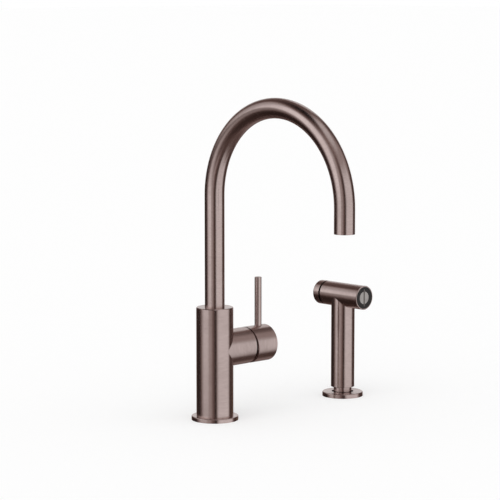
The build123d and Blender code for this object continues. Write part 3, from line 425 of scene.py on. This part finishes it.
for node, thing in cadNodes.items():
    for materialSlot in thing.material_slots:
        materialSlot.material = nodeFinish[node]
print("CAD nodes finished:", len(nodeFinish))


def nodeTree(name, sizes):
    # A Geometry Nodes tree that takes a mesh, the named sizes and a material.
    tree = bpy.data.node_groups.new(name, "GeometryNodeTree")
    tree.interface.new_socket("Geometry", in_out="INPUT", socket_type="NodeSocketGeometry")
    for size, kind in sizes.items():
        tree.interface.new_socket(size, in_out="INPUT", socket_type=kind)
    tree.interface.new_socket("Material", in_out="INPUT", socket_type="NodeSocketMaterial")
    tree.interface.new_socket("Geometry", in_out="OUTPUT", socket_type="NodeSocketGeometry")
    return tree, addNode(tree, "NodeGroupInput").outputs


def endTree(tree, geometry, material):
    realized = addNode(tree, "GeometryNodeRealizeInstances", {0: geometry}).outputs[0]
    finished = addNode(tree, "GeometryNodeSetMaterial", {"Geometry": realized, "Material": material}).outputs[0]
    addNode(tree, "NodeGroupOutput", {0: finished})


mergeDistance = 0.002 * mm
sharpAngle = math.radians(32)  # edges that turn more than this stay crisp


def runTree(name, mesh, tree, values):
    # Runs the tree on the mesh and keeps the result as a plain closed mesh.
    thing = bpy.data.objects.new(name, mesh)
    bpy.context.collection.objects.link(thing)
    modifier = thing.modifiers.new(tree.name, "NODES")
    modifier.node_group = tree
    for item in tree.interface.items_tree:
        if item.in_out == "INPUT" and item.name in values:
            modifier[item.identifier] = values[item.name]
    made = bpy.data.meshes.new_from_object(thing.evaluated_get(bpy.context.evaluated_depsgraph_get()))
    thing.modifiers.clear()
    thing.data = made
    work = bmesh.new()
    work.from_mesh(made)
    bmesh.ops.remove_doubles(work, verts=work.verts, dist=mergeDistance)
    bmesh.ops.dissolve_degenerate(work, edges=work.edges, dist=mergeDistance)
    bmesh.ops.recalc_face_normals(work, faces=work.faces)
    openEdges = sum(not edge.is_manifold for edge in work.edges)
    work.to_mesh(made)
    work.free()
    for polygon in made.polygons:
        polygon.use_smooth = True
    made.set_sharp_from_angle(angle=sharpAngle)
    print(name, "made:", len(made.polygons), "faces,", openEdges, "open edges")
    return thing


# Threads. The lathe mesh below has four rings for each turn of the thread, at the root and at the crest. The
# tree leans the rings into a helix, lifts the crests, and lets them run out at both ends.
threadTree, threadIn = nodeTree("cutThread", {"Pitch": "NodeSocketFloat", "Depth": "NodeSocketFloat"})
threadMarks = {
    mark: addNode(threadTree, "GeometryNodeInputNamedAttribute", {"Name": mark}).outputs[0]
    for mark in ("turn", "tooth", "cutStart", "cutEnd", "outwardX", "outwardY")
}
threadPlace = addNode(
    threadTree, "ShaderNodeSeparateXYZ", {0: addNode(threadTree, "GeometryNodeInputPosition").outputs[0]}
).outputs["Z"]
threadLead = addNode(
    threadTree, "ShaderNodeMath", {0: threadMarks["turn"], 1: threadIn["Pitch"]}, operation="MULTIPLY"
).outputs[0]
threadFree = addNode(threadTree, "ShaderNodeMath", {0: threadPlace, 1: threadLead}, operation="ADD").outputs[0]
threadHeight = addNode(
    threadTree, "ShaderNodeClamp",
    {"Value": threadFree, "Min": threadMarks["cutStart"], "Max": threadMarks["cutEnd"]},
).outputs[0]
threadRise = addNode(
    threadTree, "ShaderNodeMath", {0: threadHeight, 1: threadPlace}, operation="SUBTRACT"
).outputs[0]
runOut = addNode(
    threadTree, "ShaderNodeMapRange",
    {
        "Value": threadFree, "From Min": threadMarks["cutStart"],
        "From Max": addNode(
            threadTree, "ShaderNodeMath", {0: threadMarks["cutStart"], 1: threadIn["Pitch"]}, operation="ADD"
        ).outputs[0],
    },
).outputs[0]
runIn = addNode(
    threadTree, "ShaderNodeMapRange",
    {
        "Value": threadFree, "From Min": threadMarks["cutEnd"],
        "From Max": addNode(
            threadTree, "ShaderNodeMath", {0: threadMarks["cutEnd"], 1: threadIn["Pitch"]}, operation="SUBTRACT"
        ).outputs[0],
    },
).outputs[0]
threadLift = addNode(threadTree, "ShaderNodeMath", {0: runOut, 1: runIn}, operation="MULTIPLY").outputs[0]
threadLift = addNode(
    threadTree, "ShaderNodeMath", {0: threadLift, 1: threadMarks["tooth"]}, operation="MULTIPLY"
).outputs[0]
threadLift = addNode(
    threadTree, "ShaderNodeMath", {0: threadLift, 1: threadIn["Depth"]}, operation="MULTIPLY"
).outputs[0]
threadMove = addNode(
    threadTree, "ShaderNodeCombineXYZ",
    {
        0: addNode(
            threadTree, "ShaderNodeMath", {0: threadMarks["outwardX"], 1: threadLift}, operation="MULTIPLY"
        ).outputs[0],
        1: addNode(
            threadTree, "ShaderNodeMath", {0: threadMarks["outwardY"], 1: threadLift}, operation="MULTIPLY"
        ).outputs[0],
        2: threadRise,
    },
).outputs[0]
threadCut = addNode(
    threadTree, "GeometryNodeSetPosition", {"Geometry": threadIn["Geometry"], "Offset": threadMove}
).outputs[0]
endTree(threadTree, threadCut, threadIn["Material"])


# One turn of a thread's outline: how far along the turn, and 0 at the root or 1 at the crest.
toothOutline = ((0.0, 0), (0.25, 0), (0.5625, 1), (0.6875, 1))


def latheRings(profile, pitch, depth):
    # profile: each step's radius, height and kind. A thread runs to its step from the step before, and a root
    # step lies at the thread's root.
    rings = []
    for number, (radius, height, kind) in enumerate(profile):
        if kind == "thread":
            start = profile[number - 1][1]
            low, high = min(start, height), max(start, height)
            turns = math.ceil((high - low) / pitch) + 1
            places = []
            for turn in range(-1, turns):
                for share, tooth in toothOutline:
                    places.append((radius - depth, low + (turn + share) * pitch, tooth, low, high))
            rings += places if height > start else places[::-1]
        rings.append((radius - depth if kind in ("thread", "root") else radius, height, 0, height, height))
    return rings


def latheMesh(name, centre, rings, columns):
    # Rings joined to a closed cross-section. The first and last columns stand in the same place, left open
    # until the thread is cut.
    mesh = bpy.data.meshes.new(name)
    points = []
    marks = {"turn": [], "tooth": [], "cutStart": [], "cutEnd": [], "outwardX": [], "outwardY": []}
    for radius, height, tooth, low, high in rings:
        for column in range(columns + 1):
            angle = 2 * math.pi * column / columns
            outward = (math.cos(angle), math.sin(angle))
            points.append((centre[0] + radius * outward[0], centre[1] + radius * outward[1], height))
            row = {
                "turn": column / columns, "tooth": tooth, "cutStart": low, "cutEnd": high,
                "outwardX": outward[0], "outwardY": outward[1],
            }
            for mark, value in row.items():
                marks[mark].append(value)
    faces = []
    for ring in range(len(rings)):
        following = (ring + 1) % len(rings)
        for column in range(columns):
            near, far = ring * (columns + 1) + column, following * (columns + 1) + column
            faces.append((near, near + 1, far + 1, far))
    mesh.from_pydata(points, [], faces)
    for mark, values in marks.items():
        mesh.attributes.new(mark, "FLOAT", "POINT").data.foreach_set("value", values)
    return mesh


mixerShank = {
    "radius": 16.5 * mm, "bore": 13.5 * mm, "top": 20 * mm, "foot": -62 * mm,
    "groove": (-53 * mm, -51 * mm), "grooveDepth": 1.15 * mm,
    "pitch": 2.0 * mm, "depth": 1.1 * mm,  # real thread M33 x 2
}
sprayShank = {
    "radius": 15 * mm, "bore": 12.49 * mm, "top": 2.87 * mm, "foot": -58 * mm,
    "groove": (-49 * mm, -47 * mm), "grooveDepth": 1.0 * mm,
    "pitch": 1.5 * mm, "depth": 0.85 * mm,  # real thread M30 x 1.5
}
hoseThread = {
    "radius": 7.5 * mm, "bore": 4.5 * mm, "top": 17 * mm, "foot": -9 * mm,
    "threadTop": -0.5 * mm, "neck": 7.1 * mm, "shoulder": 4.6 * mm, "shoulderRadius": 8.3 * mm,
    "ring": (10.9 * mm, 13.1 * mm), "ringFloor": 6.2 * mm,
    "pitch": 1.25 * mm, "depth": 0.65 * mm,
}
threadColumns = 72


def shankProfile(look):
    grooveLow, grooveHigh = look["groove"]
    grooveRadius = look["radius"] - look["grooveDepth"]
    return [
        (look["bore"], look["foot"], None), (look["radius"], look["foot"], "root"),
        (look["radius"], grooveLow, "thread"),
        (grooveRadius, grooveLow, None),
        (grooveRadius, grooveHigh, None),
        (look["radius"], grooveHigh, "root"), (look["radius"], look["top"], "thread"),
        (look["bore"], look["top"], None),
    ]


connectorProfile = [
    (hoseThread["bore"], hoseThread["foot"], None), (hoseThread["radius"], hoseThread["foot"], "root"),
    (hoseThread["radius"], hoseThread["threadTop"], "thread"),
    (hoseThread["neck"], hoseThread["threadTop"], None),
    (hoseThread["neck"], hoseThread["shoulder"], None),
    (hoseThread["shoulderRadius"], hoseThread["shoulder"], None),
    (hoseThread["shoulderRadius"], hoseThread["ring"][0], None),
    (hoseThread["ringFloor"], hoseThread["ring"][0], None),
    (hoseThread["ringFloor"], hoseThread["ring"][1], None),
    (hoseThread["shoulderRadius"], hoseThread["ring"][1], None),
    (hoseThread["shoulderRadius"], hoseThread["top"], None), (hoseThread["bore"], hoseThread["top"], None),
]
threadedPieces = [
    ("mixerShankThreaded", "mixer_shank", "mixer", 0.0, mixerShank, shankProfile(mixerShank)),
    ("sprayShankThreaded", "spray_shank", "mixer", sprayPlace, sprayShank, shankProfile(sprayShank)),
    ("hoseConnectorThreaded", "hose_connector", "hose_end", sprayPlace, hoseThread, connectorProfile),
]
for name, node, body, place, look, profile in threadedPieces:
    rings = latheRings(profile, look["pitch"], look["depth"])
    mesh = latheMesh(name, (place, 0), rings, threadColumns)
    piece = runTree(
        name, mesh, threadTree,
        {"Pitch": look["pitch"], "Depth": look["depth"], "Material": nodeFinish[node]},
    )
    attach(piece, body)
    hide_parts(node)

# Soft nozzle tips in the spray face's ring, one in each hole.
nozzleRing = {
    "count": 16, "circle": 11.05 * mm, "face": -37.4 * mm,
    # radius and height over the face of one nozzle, from its root in the hole to the water way in its tip
    "profile": [
        (0.0, -0.9), (0.44, -0.9), (0.44, 0.0), (0.9, 0.0), (0.85, 0.06), (0.5, 0.24), (0.42, 0.27), (0.24, 0.25),
        (0.22, -0.3), (0.0, -0.3),
    ],
    "columns": 16,
}
nozzleTree, nozzleIn = nodeTree(
    "nozzleRing", {"Count": "NodeSocketInt", "Circle": "NodeSocketFloat", "Centre": "NodeSocketVector"}
)
nozzleCircle = addNode(
    nozzleTree, "GeometryNodeMeshCircle", {"Vertices": nozzleIn["Count"], "Radius": nozzleIn["Circle"]}
).outputs[0]
halfStep = addNode(
    nozzleTree, "ShaderNodeMath", {0: math.pi, 1: nozzleIn["Count"]}, operation="DIVIDE"
).outputs[0]
nozzleCircle = addNode(
    nozzleTree, "GeometryNodeTransform",
    {
        "Geometry": nozzleCircle,
        "Rotation": addNode(nozzleTree, "ShaderNodeCombineXYZ", {2: halfStep}).outputs[0],
    },
).outputs[0]
nozzleCircle = addNode(
    nozzleTree, "GeometryNodeTransform",
    {"Geometry": nozzleCircle, "Rotation": (math.radians(90), 0, 0), "Translation": nozzleIn["Centre"]},
).outputs[0]
nozzles = addNode(
    nozzleTree, "GeometryNodeInstanceOnPoints", {"Points": nozzleCircle, "Instance": nozzleIn["Geometry"]}
).outputs[0]
endTree(nozzleTree, nozzles, nozzleIn["Material"])

nozzlePoints = []
nozzleFaces = []
for radius, height in nozzleRing["profile"]:
    for column in range(nozzleRing["columns"]):
        angle = 2 * math.pi * column / nozzleRing["columns"]
        nozzlePoints.append((radius * mm * math.cos(angle), -height * mm, radius * mm * math.sin(angle)))
for ring in range(len(nozzleRing["profile"]) - 1):
    for column in range(nozzleRing["columns"]):
        near = ring * nozzleRing["columns"] + column
        beside = ring * nozzleRing["columns"] + (column + 1) % nozzleRing["columns"]
        nozzleFaces.append((near, beside, beside + nozzleRing["columns"], near + nozzleRing["columns"]))
nozzleMesh = bpy.data.meshes.new("nozzle")
nozzleMesh.from_pydata(nozzlePoints, [], nozzleFaces)
nozzleTips = runTree(
    "sprayNozzles", nozzleMesh, nozzleTree,
    {
        "Count": nozzleRing["count"], "Circle": nozzleRing["circle"],
        "Centre": (sprayPlace, nozzleRing["face"], headHeight),
        "Material": mouldedSurface("siliconeRubber", mouldedLooks["siliconeRubber"]),
    },
)
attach(nozzleTips, "handset")

# Wound springs, each built as a coil at rest. In the tap one end stays and the other follows the pressed piece,
# so the coil closes up between them. Seats are the faces beyond its two ends, where that closing up starts and
# ends, and foot is the middle of the first end's wire.
buttonSpring = {
    "name": "buttonSpringWound", "node": "button_spring", "look": "stainlessSteel_head", "turns": 4.0,
    "coil": 6.6 * mm, "wire": 0.44 * mm, "foot": (sprayPlace, 20.52 * mm, headHeight), "length": 15.78 * mm,
    "tilt": (math.radians(-90), 0.0, 0.0),
    "footBody": "handset", "headBody": "button",
    "seats": ((sprayPlace, 20.03 * mm, headHeight), (sprayPlace, 36.8 * mm, headHeight)),
}
diverterSpring = {
    "name": "diverterSpringWound", "node": "diverter_spring", "look": "stainlessSteel_mixer", "turns": 3.0,
    "coil": 4.2 * mm, "wire": 0.39 * mm, "foot": (0.0, 0.0, 97.04 * mm), "length": 7.89 * mm,
    "tilt": (0.0, 0.0, 0.0),
    "footBody": "diverter", "headBody": "mixer",
    "seats": ((0.0, 0.0, 96.6 * mm), (0.0, 0.0, 105.37 * mm)),
}
springMesh = {"ringsPerTurn": 48, "wireSides": 14}
springTree, springIn = nodeTree(
    "woundSpring",
    {
        "Turns": "NodeSocketFloat", "Coil": "NodeSocketFloat", "Wire": "NodeSocketFloat",
        "Length": "NodeSocketFloat", "Tilt": "NodeSocketVector", "Foot": "NodeSocketVector",
    },
)
windings = addNode(
    springTree, "GeometryNodeCurveSpiral",
    {
        "Resolution": springMesh["ringsPerTurn"], "Rotations": springIn["Turns"],
        "Start Radius": springIn["Coil"],
        "End Radius": springIn["Coil"], "Height": springIn["Length"],
    },
).outputs[0]
windingHeight = addNode(  # the end turns lie closer than the middle ones
    springTree, "ShaderNodeMapRange",
    {
        "Value": addNode(springTree, "GeometryNodeSplineParameter").outputs["Factor"],
        "To Min": 0.0, "To Max": springIn["Length"],
    },
    interpolation_type="SMOOTHSTEP",
).outputs[0]
windingParts = addNode(
    springTree, "ShaderNodeSeparateXYZ", {0: addNode(springTree, "GeometryNodeInputPosition").outputs[0]}
).outputs
windingPlace = addNode(
    springTree, "ShaderNodeCombineXYZ", {0: windingParts["X"], 1: windingParts["Y"], 2: windingHeight}
).outputs[0]
windings = addNode(
    springTree, "GeometryNodeSetPosition", {"Geometry": windings, "Position": windingPlace}
).outputs[0]
wireRound = addNode(
    springTree, "GeometryNodeCurvePrimitiveCircle",
    {"Resolution": springMesh["wireSides"], "Radius": springIn["Wire"]},
)
springSkin = addNode(
    springTree, "GeometryNodeCurveToMesh",
    {"Curve": windings, "Profile Curve": wireRound.outputs[0], "Fill Caps": True},
).outputs[0]
springSkin = addNode(
    springTree, "GeometryNodeTransform",
    {"Geometry": springSkin, "Rotation": springIn["Tilt"], "Translation": springIn["Foot"]},
).outputs[0]
endTree(springTree, springSkin, springIn["Material"])

for spring in (buttonSpring, diverterSpring):
    wound = runTree(
        spring["name"], bpy.data.meshes.new(spring["name"]), springTree,
        {
            "Turns": spring["turns"], "Coil": spring["coil"], "Wire": spring["wire"],
            "Length": spring["length"],
            "Tilt": spring["tilt"], "Foot": spring["foot"], "Material": bpy.data.materials[spring["look"]],
        },
    )
    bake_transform(wound)
    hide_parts(spring["node"])


# The camera's place, angles and focal length come from a least-squares fit to edges measured in the
# photograph.
cameraSet = {
    "azimuth": -43.236, "elevation": 7.190,  # degrees
    "focalPixels": 2147.34, "imagePixels": 500,
    "place": (-1727.93 * mm, -1899.97 * mm, 531.33 * mm),
    "sensor": 36, "clip": (0.05, 100),
}
cameraData = bpy.data.cameras.new("camera")
cameraData.sensor_width = cameraSet["sensor"]
cameraData.lens = cameraData.sensor_width * cameraSet["focalPixels"] / cameraSet["imagePixels"]
cameraData.clip_start, cameraData.clip_end = cameraSet["clip"]
camera = bpy.data.objects.new("camera", cameraData)
camera.location = cameraSet["place"]
camera.rotation_euler = (
    math.radians(90 - cameraSet["elevation"]), 0, math.radians(cameraSet["azimuth"])
)
bpy.context.collection.objects.link(camera)
bpy.context.scene.camera = camera
print("camera placed")


# The light tent is a wide cloth dome that shows only in reflections. Its grey patches give the long bands on
# the tubes, and it is open where its level reaches openLevel, so that the white backdrop shows there. Angles
# are degrees: turn from the camera's side to its right, and height above the horizon. Soft is how wide the
# patch's edge fades. Level 1 is as bright as the backdrop, and a later patch covers an earlier one.
tent = {"distance": 9.0, "step": 3, "level": 0.13, "openLevel": 0.97, "darkTint": "#ffcec0", "tintEnd": 0.6}
# Twelve patches and the tent's own level came from an optimiser that matched light to the photograph's
# brightness, and were then rounded and partly changed. Added one by one are groundLeft, lowScreen,
# groundBack, leftShoulder, rightShoulder, backGlow and backShoulder. Nothing here is worked out from the
# frame, so it is no pattern to copy.
tentPatches = [
    {"name": "rightCeiling", "turn": (-14, 127), "height": (50, 95), "soft": (60, 30), "level": 0.72},
    {"name": "leftCeiling", "turn": (-154, -28), "height": (59, 96), "soft": (40, 30), "level": 0.0},
    {"name": "back", "turn": (150, 198), "height": (-5, 30), "soft": (26, 30), "level": 0.52},
    {"name": "leftWindow", "turn": (-114, -24), "height": (-12, 40), "soft": (44, 25), "level": 1.1},
    {"name": "rightScreen", "turn": (15, 99), "height": (-47, 35), "soft": (24, 26), "level": 0.82},
    {"name": "ground", "turn": (-180, 180), "height": (-95, -45), "soft": (10, 16), "level": 0.13},
    {"name": "groundLeft", "turn": (-160, -45), "height": (-95, -38), "soft": (30, 10), "level": 0.05},
    {"name": "lowScreen", "turn": (14, 64), "height": (-57, -40), "soft": (16, 10), "level": 0.62},
    {"name": "groundBack", "turn": (145, 185), "height": (-60, -22), "soft": (14, 10), "level": 0.27},
    {"name": "leftShoulder", "turn": (-127, -98), "height": (12, 47), "soft": (12, 12), "level": 0.56},
    {"name": "leftFlag", "turn": (-150, -85), "height": (-42, 8), "soft": (40, 10), "level": 0.03},
    {"name": "rightFlag", "turn": (101, 139), "height": (-50, 19), "soft": (14, 19), "level": 0.08},
    {"name": "middleScreen", "turn": (-39, -20), "height": (-34, 34), "soft": (8, 20), "level": 0.44},
    {"name": "highScreen", "turn": (-50, 32), "height": (41, 57), "soft": (20, 9), "level": 0.3},
    {"name": "rearScreen", "turn": (96, 152), "height": (19, 52), "soft": (20, 15), "level": 0.08},
    {"name": "rightShoulder", "turn": (86, 120), "height": (20, 50), "soft": (14, 10), "level": 0.38},
    {"name": "backGlow", "turn": (160, 200), "height": (2, 20), "soft": (14, 8), "level": 0.78},
    {"name": "backShoulder", "turn": (157, 180), "height": (24, 46), "soft": (10, 10), "level": 0.75},
    {"name": "frontFlag", "turn": (0, 12), "height": (-58, 32), "soft": (6, 30), "level": 0.01},
]
cameraTurn = math.atan2(cameraSet["place"][1], cameraSet["place"][0])


def softEdge(inside, soft):
    share = min(1.0, max(0.0, inside / soft + 0.5))
    return share * share * (3 - 2 * share)


def tentLevel(turn, height):
    level = tent["level"]
    for patch in tentPatches:
        middle = sum(patch["turn"]) / 2
        half = (patch["turn"][1] - patch["turn"][0]) / 2
        away = abs((turn - middle + 180) % 360 - 180)
        softTurn, softHeight = patch["soft"]
        share = softEdge(half - away, softTurn) if half < 180 else 1.0
        share *= (
            softEdge(height - patch["height"][0], softHeight)
            * softEdge(patch["height"][1] - height, softHeight)
        )
        level = level * (1 - share) + patch["level"] * share
    return level


tentPoints = []
tentGlow = []
tentColumns = 360 // tent["step"]
tentRows = 180 // tent["step"]
for row in range(tentRows + 1):
    height = -90 + row * tent["step"]
    for column in range(tentColumns):
        turn = column * tent["step"]
        angle = cameraTurn + math.radians(turn)
        flat = tent["distance"] * math.cos(math.radians(height))
        tentPoints.append((
            flat * math.cos(angle), flat * math.sin(angle), tent["distance"] * math.sin(math.radians(height))
        ))
        tentGlow.append(tentLevel(turn, height))
tentFaces = []
for row in range(tentRows):
    for column in range(tentColumns):
        beside = (column + 1) % tentColumns
        corners = (
            row * tentColumns + column, row * tentColumns + beside,
            (row + 1) * tentColumns + beside, (row + 1) * tentColumns + column,
        )
        if min(tentGlow[corner] for corner in corners) < tent["openLevel"]:
            tentFaces.append(corners)
tentMesh = bpy.data.meshes.new("lightTent")
tentMesh.from_pydata(tentPoints, [], tentFaces)
tentMesh.attributes.new("glow", "FLOAT", "POINT").data.foreach_set("value", tentGlow)
lightTent = bpy.data.objects.new("lightTent", tentMesh)
bpy.context.collection.objects.link(lightTent)
lightTent.visible_camera = False
lightTent.visible_diffuse = False
lightTent.visible_shadow = False
lightTent.visible_transmission = False
lightTent.visible_volume_scatter = False
tentMaterial, tentTree = emptyMaterial("tentCloth")
glow = addNode(tentTree, "ShaderNodeAttribute", attribute_name="glow").outputs["Fac"]
tint = addNode(tentTree, "ShaderNodeMapRange", {"Value": glow, "From Max": tent["tintEnd"]}).outputs[0]
tint = addNode(
    tentTree, "ShaderNodeMix", {"Factor": tint, 6: hexToLinear(tent["darkTint"]), 7: (1, 1, 1, 1)},
    data_type="RGBA",
).outputs[2]
tentLight = addNode(tentTree, "ShaderNodeEmission", {"Color": tint, "Strength": glow})
addNode(tentTree, "ShaderNodeOutputMaterial", {"Surface": tentLight.outputs[0]})
tentMesh.materials.append(tentMaterial)
print("light tent hung")


# floorLift is the glow that the camera alone sees on the floor, and ambient the world's light on the object.
studio = {"backdropWhite": 1.0, "ambient": 0.7, "floorSize": 60.0, "floorLift": 0.42, "floorColour": "#cccccc"}
half = studio["floorSize"] / 2
floorMesh = bpy.data.meshes.new("floor")
floorMesh.from_pydata(
    [(-half, -half, 0), (half, -half, 0), (half, half, 0), (-half, half, 0)], [], [(0, 1, 2, 3)]
)
floor = bpy.data.objects.new("floor", floorMesh)
bpy.context.collection.objects.link(floor)
floor.visible_glossy = False
floorMaterial, floorTree = emptyMaterial("paleFloor")
floorRays = addNode(floorTree, "ShaderNodeLightPath")
floorPaint = addNode(floorTree, "ShaderNodeBsdfDiffuse", {"Color": hexToLinear(studio["floorColour"])})
floorGlow = addNode(
    floorTree, "ShaderNodeMath",
    {0: floorRays.outputs["Is Camera Ray"], 1: studio["floorLift"]}, operation="MULTIPLY",
)
floorLight = addNode(floorTree, "ShaderNodeEmission", {"Strength": floorGlow.outputs[0]})
floorSum = addNode(floorTree, "ShaderNodeAddShader", {0: floorPaint.outputs[0], 1: floorLight.outputs[0]})
addNode(floorTree, "ShaderNodeOutputMaterial", {"Surface": floorSum.outputs[0]})
floorMesh.materials.append(floorMaterial)

world = bpy.data.worlds.new("studio")
bpy.context.scene.world = world
world.use_nodes = True
worldTree = world.node_tree
worldTree.nodes.clear()
worldRays = addNode(worldTree, "ShaderNodeLightPath")
seenWhite = addNode(
    worldTree, "ShaderNodeMath",
    {0: worldRays.outputs["Is Camera Ray"], 1: worldRays.outputs["Is Glossy Ray"]}, operation="MAXIMUM",
)
seenWhite = addNode(
    worldTree, "ShaderNodeMath",
    {0: seenWhite.outputs[0], 1: worldRays.outputs["Is Transmission Ray"]}, operation="MAXIMUM",
)
worldLevel = addNode(
    worldTree, "ShaderNodeMapRange",
    {"Value": seenWhite.outputs[0], "To Min": studio["ambient"], "To Max": studio["backdropWhite"]},
)
worldLight = addNode(
    worldTree, "ShaderNodeBackground", {"Color": (1, 1, 1, 1), "Strength": worldLevel.outputs[0]}
)
addNode(worldTree, "ShaderNodeOutputWorld", {"Surface": worldLight.outputs[0]})

# Wide soft lamps far away, so that the floor is evenly lit and keeps only a faint shadow.
lamps = [
    {"name": "keyLamp", "from": (-1.6, -0.6, 1.9), "spread": 60, "power": 0.8},
    {"name": "fillLamp", "from": (1.0, -2.0, 1.4), "spread": 80, "power": 0.3},
]
for lamp in lamps:
    light = bpy.data.lights.new(lamp["name"], "SUN")
    light.angle = math.radians(lamp["spread"])
    light.energy = lamp["power"]
    lampObject = bpy.data.objects.new(lamp["name"], light)
    lampObject.location = lamp["from"]
    lampObject.rotation_euler = (-Vector(lamp["from"])).to_track_quat("-Z", "Y").to_euler()
    lampObject.visible_glossy = False
    bpy.context.collection.objects.link(lampObject)
bpy.context.scene.view_settings.view_transform = "Standard"
print("studio lit")
